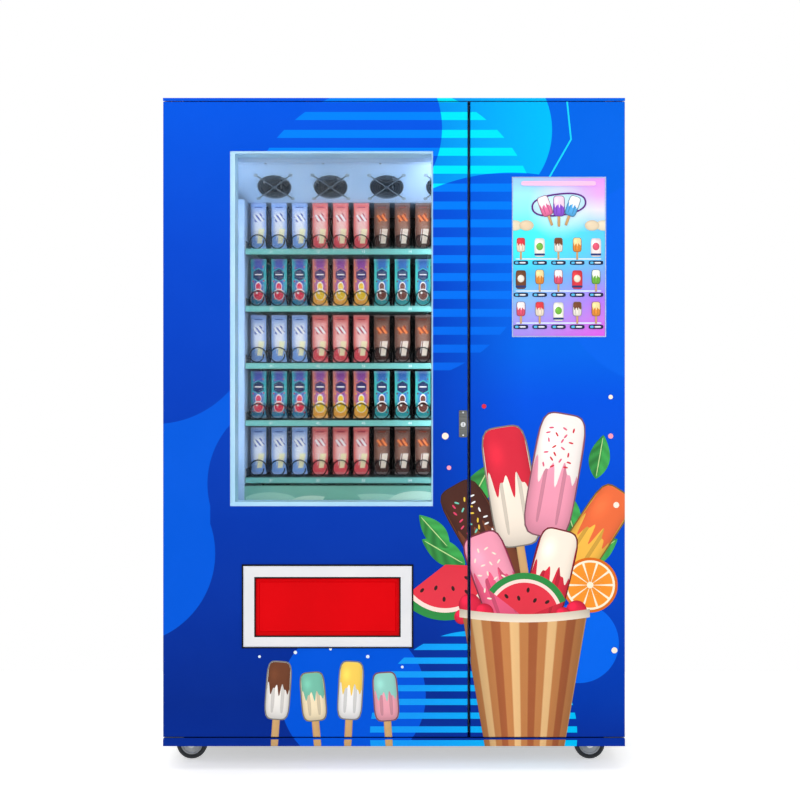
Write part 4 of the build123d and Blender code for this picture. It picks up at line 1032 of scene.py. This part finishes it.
def citrus(radius, colour, rind):
    """A cut fruit: a rind, a pale ring and ten segments, each a slice with a gap to the next."""
    pale = (255, 244, 214)
    slices = [wedge(radius * 0.82, 36 * k + 3, 36 * k + 33, [(0.5, colour), (1.0, colour)], 0)[0]
              for k in range(10)]
    return [oval(rind, radius, radius, 2, 0.15, 0.1), oval(pale, radius * 0.9, radius * 0.9, 2, 0, 0),
            sum(slices, []), even_oval(pale, radius * 0.12, radius * 0.12)]


def leaf(colour, length, half):
    """A leaf along its own upright: its half width is a sine to a power, with a pale rib."""
    v = np.linspace(0, 1, 25)[:, None]
    u = np.linspace(-1, 1, 9)[None, :]
    reach = half * np.sin(math.pi * v) ** 0.8 * (1.15 - 0.35 * v)
    shade = 0.72 + 0.4 * (u > 0) + 0.18 * np.sin(22 * v + 5 * np.abs(u))
    rib = even_oval((190, 226, 150), 1.6, length * 0.44, 3, 16)
    return [tinted(u * reach, v * length, colour, shade), moved(rib, 0, length / 2)]


# Prints on the doors and on the baffle
RED, PINK, CREAM, BROWN = (222, 40, 62), (250, 160, 184), (255, 240, 222), (126, 66, 40)
CANDY = [(255, 255, 255), (255, 214, 70), (120, 214, 190), (240, 70, 110)]
MELON = [(0.78, (232, 52, 70)), (0.86, (255, 226, 214)), (1.0, (44, 140, 66))]
TUB_STRIPES = [(196, 128, 72), (236, 190, 130), (196, 128, 72), (168, 92, 50)]
LEAVES = [(62, 250, 700, 1.0), (108, 545, 640, 0.9), (35, 560, 560, 0.8), (150, 250, 560, 0.9),
          (80, 600, 790, 0.8), (132, 206, 604, 0.8)]
CHERRIES = [(262, 452, 30), (300, 430, 26), (548, 436, 28), (512, 424, 22), (240, 420, 20)]
LOOSE_DOTS = [(196, 905, 9), (640, 905, 7, PINK), (206, 820, 6, PINK), (655, 720, 8), (300, 985, 6, RED),
              (640, 1010, 6), (90, 470, 8, PINK), (650, 330, 8)]
SMALL_DOTS = [(-390, 330, 4), (-286, 342, 5), (-184, 352, 4), (-76, 330, 5), (24, 300, 4)]


def big_print():
    """The picture at the lower right: a striped tub with a fan of bars, cut fruit and leaves."""
    layers = []
    for turn, x, z, size in LEAVES:
        layers += moved(leaf((58, 158, 74), 150, 36), x, z, turn - 90, size)
    bars = [(BROWN, (74, 36, 26), 58, 150, sprinkles(CANDY, 40, -40, 110, 26, 5), 296, 640, 30),
            (CREAM, RED, 60, 160, (), 372, 770, 9),
            (PINK, (255, 246, 240), 62, 165, sprinkles([RED, (236, 96, 130)], 42, 10, 130, 20, 9),
             490, 800, -10),
            ((250, 190, 74), (240, 110, 60), 52, 140, (), 590, 640, -33)]
    for *bar, x, z, turn in bars:
        layers += moved(lolly(*bar), x, z, turn)
    layers += moved(wedge(150, 200, 340, MELON), 196, 560, 18)
    layers += moved(citrus(74, (250, 150, 40), (236, 116, 20)), 585, 505)
    strewn = sprinkles([CREAM], 38, -60, 90, 16, 3)
    layers += moved(lolly((240, 92, 130), PINK, 54, 128, strewn), 330, 520, 20)
    layers += moved(lolly(RED, CREAM, 52, 125), 478, 530, -14)
    layers += moved(wedge(120, 30, 150, MELON, 5), 408, 418, -8)
    layers += [moved(oval((226, 30, 66), radius, radius, 2, 0.4, 0.6), x, z) for x, z, radius in CHERRIES]
    layers += moved(tub(TUB_STRIPES, 168, 104, 375), 409, 55)
    return moved(layers + dots(CREAM, LOOSE_DOTS), -63, -8, 0, 1.08)


def small_prints():
    """Four plain small lollies under the pickup, and a few light dots."""
    rows = [(-336, 232, -4, 84, (250, 246, 238), (112, 62, 36)),
            (-234, 214, 5, 70, (255, 236, 196), (120, 196, 170)),
            (-126, 232, -3, 84, (252, 250, 246), (255, 214, 92)),
            (-24, 214, 4, 70, (246, 168, 182), (150, 214, 200))]
    layers = []
    for x, z, turn, tall, body, dip in rows:
        layers += moved(lolly(body, dip, 34, tall), x, z, turn, 0.98)
    return layers + dots((230, 244, 255), SMALL_DOTS, 16)


PRINT_GAP, PRINT_LAYER = 0.25, 0.02
SKIN_ROUND = 4.0
BAFFLE_FACE = -190.0
BAFFLE_SPAN = (761, 806)
HILL_FOOT = 758
LINE_POINTS = [(501.7, 1943.0), (507.5, 1886.0), (513.4, 1829.7), (482.0, 1775.0), (450.6, 1720.0)]
LINE_HALF = 2.5
HILLS = [(-380, 90, 34, (158, 212, 192)), (-250, 70, 24, (190, 228, 208)), (-60, 120, 30, (158, 212, 192)),
         (70, 90, 38, (190, 228, 208)), (-160, 60, 40, (120, 186, 166))]


def make_sticker(name, layers, body, area, face, bend=0.0, slot="door_wrap"):
    """Print shapes laid in order on a face and cut at an area's edges. Near those edges they
    drop back with a rounded skin: the drop is the round's depth at that place."""
    tables, inks = [], []
    for k, layer in enumerate(layers):
        for flat, tint in layer if isinstance(layer, list) else [layer]:
            tables.append(grid(flat[..., 0], face - PRINT_GAP - PRINT_LAYER * k, flat[..., 1]))
            inks.append(tint)
    made = build(name, tables, body, "ink", closed=False, inks=inks)
    x0, x1, z0, z1 = area
    work = bmesh.new()
    work.from_mesh(made.data)
    for share in (0.0, 0.35, 0.65, 0.9) if bend else (1.0,):
        for axis, edge, way in ((0, x0, -1), (0, x1, 1), (2, z0, -1), (2, z1, 1)):
            spot, normal = [0, 0, 0], [0, 0, 0]
            spot[axis], normal[axis] = (edge - way * bend * (1 - share)) * MM, way
            everything = work.verts[:] + work.edges[:] + work.faces[:]
            bmesh.ops.bisect_plane(work, geom=everything, plane_co=spot, plane_no=normal,
                                   clear_outer=share >= 0.9)
    work.normal_update()
    bmesh.ops.reverse_faces(work, faces=[f for f in work.faces if f.normal.y > 0])
    work.to_mesh(made.data)
    work.free()
    if bend:
        spots = np.zeros(len(made.data.vertices) * 3)
        made.data.vertices.foreach_get("co", spots)
        spots = spots.reshape(-1, 3)
        x, z = spots[:, 0] / MM, spots[:, 2] / MM
        over = np.max([x0 + bend - x, x - x1 + bend, z0 + bend - z, z - z1 + bend], 0).clip(0, bend)
        spots[:, 1] += (bend - np.sqrt(bend ** 2 - over ** 2)) * MM
        made.data.vertices.foreach_set("co", spots.ravel())


def make_prints():
    """The pictures on both doors and on the strip under them, a bright line on the right door,
    and hills on the mint baffle."""
    left = ("left_door", front_area("left_door_skin"), door_face, SKIN_ROUND)
    right = ("right_door", front_area("right_door_skin"), door_face, SKIN_ROUND)
    foot = ("cabinet", front_area("kick_strip", 1, 0.5), extent("kick_strip")[0][1])
    tub_layers, lolly_layers = big_print(), small_prints()
    points = np.array(LINE_POINTS)
    way = np.gradient(points, axis=0)
    side = unit(grid(-way[:, 1], way[:, 0])) * LINE_HALF
    x, z = np.stack([points - side, points + side], 1).transpose(2, 0, 1)
    line = [tinted(x, z, (0, 214, 250))]
    for name, layers, spot in (("tub_print_left", tub_layers, left), ("tub_print_right", tub_layers, right),
                               ("tub_print_foot", tub_layers, foot), ("lolly_print", lolly_layers, left),
                               ("lolly_print_foot", lolly_layers, foot), ("line_print", line, right)):
        make_sticker(name, layers, *spot)
    hills = [moved(oval(tint, half, tall, 2, 0, 0), x, HILL_FOOT) for x, half, tall, tint in HILLS]
    x0, x1, _, _ = front_area("delivery_bin", 4)
    make_sticker("baffle_print", hills, "cabinet", (x0, x1, *BAFFLE_SPAN), BAFFLE_FACE, slot="mint")


# The display's icons
SHELVES = (1516, 1423, 1330)
SCREEN_MIDDLE = 477
GOODS_FIRST, GOODS_PITCH = 368, 54.4
GOODS = [((250, 236, 214), (226, 60, 70)), ((120, 190, 70), (250, 250, 236)),
         ((246, 240, 228), (118, 70, 44)), ((240, 150, 60), (252, 226, 160)),
         ((236, 90, 120), (250, 240, 240))]
SCOOPS = [(350, (240, 226, 198)), (606, (240, 228, 202)), (384, (238, 214, 180)), (574, (238, 218, 186))]
SHOWN_BARS = [(438, 20, (246, 120, 170), (255, 244, 250)), (478, 0, (150, 90, 220), (255, 220, 240)),
              (518, -20, (90, 180, 240), (255, 255, 255))]
PILL = [even_oval((24, 34, 70), 21, 6.2, 6), moved(even_oval((90, 190, 236), 5, 3.4, 4, 12), -12, 0),
        moved(even_oval((236, 240, 246), 9, 2.2, 6, 12), 5, 0)]


def make_display():
    """Three shelves of five small goods, cups and lollies, with a pill under each. Above them
    are an oval, four scoops, three lollies and a bar of light at the top."""
    layers = []
    for row, level in enumerate(SHELVES):
        layers.append(moved(even_oval((226, 240, 255), 124, 2, 12, 24), SCREEN_MIDDLE, level - 33))
        for column in range(5):
            x = GOODS_FIRST + column * GOODS_PITCH
            body, dip = GOODS[(column + 2 * row) % 5]
            if (column + row) % 3 == 1:
                icon = [oval(dip, 15, 27, 6), moved(oval(body, 10, 11, 2), 0, 3),
                        moved(oval((40, 60, 120), 15, 3, 9, 0, 0), 0, -20)]
            else:
                icon = moved(lolly(body, dip, 44, 74), 0, 8, 0, 0.27)
            layers += moved(icon, x, level) + moved(PILL, x, level - 44)
    sign = [even_oval((96, 40, 132), 80, 33, 2.4, 40), oval((200, 240, 255), 75, 28, 2.4, 0.1, 0.3)]
    layers += moved(sign, SCREEN_MIDDLE + 1, 1640, 7)
    layers += [moved(oval(tint, 21, 15, 2, 0.2, 0.1, 24, 4), x, 1580) for x, tint in SCOOPS]
    for x, turn, body, dip in SHOWN_BARS:
        layers += moved(lolly(body, dip, 44, 80), x, 1636, turn, 0.36)
    layers.append(moved(even_oval((255, 200, 235), 108, 7, 12, 24), SCREEN_MIDDLE, 1702))
    face = extent("screen_panel")[0][1] + 0.15
    make_sticker("display_icons", layers, "right_door", front_area("screen_panel"), face, slot="screen")


# Finishes of the solids
NODE_FINISH = {
    "cabinet_shell": "case_paint", "rear_grille": "grille", "roof_cap": "roof", "kick_strip": "door_wrap",
    "base_frame": "dark_metal", "cold_box": "cold_liner", "door_hinges": "zinc",
    "inner_covers": "white_paint", "evaporator": "fins", "tray_rails": "zinc", "condenser": "fins",
    "delivery_bin": "green_sheet", "fan_frames": "black_plastic", "compressor": "black_plastic",
    "control_box": "dark_metal", "power_inlet": "black_plastic", "caster_plates": "caster_steel",
    "left_door_skin": "door_wrap", "right_door_skin": "door_wrap", "left_door_core": "liner",
    "right_door_core": "liner", "door_seal": "seal", "window_frame": "window_trim", "window_glass": "glass",
    "pickup_frame": "white_plastic", "pickup_flap": "red_plastic", "lock_plate": "lock_steel",
    "lock_barrel": "steel", "screen_bezel": "silver", "screen_panel": "screen",
}
FAMILY_FINISH = {"fan_": "black_plastic", "tray_": "tray_metal", "packs_": "bag", "spiral_": "spiral_wire",
                 "caster_fork_": "caster_steel", "caster_wheel_": "tyre"}


def dress_solids():
    """Gives every solid its finish, by its own name or by its family's."""
    for name, held in nodes.items():
        finish_name = NODE_FINISH.get(name) or FAMILY_FINISH[name.rstrip("0123456789")]
        if not held.material_slots:
            held.data.materials.append(None)
        for slot in held.material_slots:
            slot.material = MATERIALS[finish_name]


# Stage, lights and camera
FLOOR_AREA = (-9000.0, 9000.0, -9000.0, 1100.0)
LAMPS = [("front lamp", (-1500, -4200, 2000), (0, -300, 1000), 2.6, 55),
         ("right lamp", (2400, -3600, 1600), (0, -300, 1000), 2.2, 38),
         ("top lamp", (0, -800, 4200), (0, 0, 1200), 2.8, 27),
         ("rear lamp", (-1800, 4200, 2400), (0, 300, 1000), 2.4, 45)]
CAMERA_SPOT = (17.4, -4617.0, 1074.0)
FRAME_WIDTH = 2320.0
SENSOR = 36.0


def seen_rays(tree):
    """1 for the rays of the camera and those that a gloss or a glass sends on, otherwise 0."""
    rays = node(tree, "LightPath").outputs
    seen = calc(tree, "MAXIMUM", rays["Is Camera Ray"], rays["Is Glossy Ray"])
    return calc(tree, "MAXIMUM", seen, rays["Is Transmission Ray"])


def make_stage():
    """A pale floor that keeps the shadow, and a world that the camera sees as white."""
    x0, x1, y0, y1 = FLOOR_AREA
    points = np.array([(x0, y0, 0), (x1, y0, 0), (x0, y1, 0), (x1, y1, 0)]) * MM
    mesh = bpy.data.meshes.new("floor")
    mesh.from_pydata(points.tolist(), [], [(0, 1, 3, 2)])
    floor = bpy.data.objects.new("floor", mesh)
    bpy.context.scene.collection.objects.link(floor)
    made, tree, shader, _ = new_material()
    made.name = "pale floor"
    for key, value in (("Base Color", srgb(240, 240, 240)), ("Emission Color", srgb(255, 255, 255)),
                       ("Roughness", 0.8), ("Emission Strength", both(tree, seen_rays(tree), 0.5))):
        fill(tree, shader.inputs[key], value)
    mesh.materials.append(made)

    world = bpy.data.worlds.new("studio")
    bpy.context.scene.world = world
    world.use_nodes = True
    tree = world.node_tree
    back = tree.nodes["Background"]
    back.inputs["Color"].default_value = (1, 1, 1, 1)
    strength = node(tree, "MapRange", {0: seen_rays(tree), 3: 0.5, 4: 1.0}).outputs[0]
    fill(tree, back.inputs["Strength"], strength)


def lamp(name, spot, aim, size, watts):
    """A square soft lamp at a spot, turned to an aim."""
    light = bpy.data.lights.new(name, "AREA")
    light.shape, light.size, light.energy = "SQUARE", size, watts
    held = bpy.data.objects.new(name, light)
    bpy.context.scene.collection.objects.link(held)
    held.location = np.array(spot) * MM
    held.rotation_euler = (Vector(aim) - Vector(spot)).to_track_quat("-Z", "Y").to_euler()


def make_studio():
    """Soft lamps in front, at the right, above and behind, and the camera square to the doors.
    Its focal length is the sensor's width times the distance to the doors over the frame's."""
    for row in LAMPS:
        lamp(*row)
    lens = bpy.data.cameras.new("camera")
    lens.sensor_width = SENSOR
    lens.lens = SENSOR * (door_face - CAMERA_SPOT[1]) / FRAME_WIDTH
    lens.clip_end = 100
    held = bpy.data.objects.new("camera", lens)
    bpy.context.scene.collection.objects.link(held)
    held.location = np.array(CAMERA_SPOT) * MM
    held.rotation_euler = (math.pi / 2, 0, 0)
    bpy.context.scene.camera = held
    bpy.context.scene.view_settings.view_transform = "Standard"


for make in (dress_solids, make_spirals, make_packs, make_price_rails, make_seal, make_pickup_trim, make_lips,
             make_lock_face, make_fan_guards, make_lights, make_wheels, make_rear_details, make_prints,
             make_display, make_stage, make_studio):
    make()
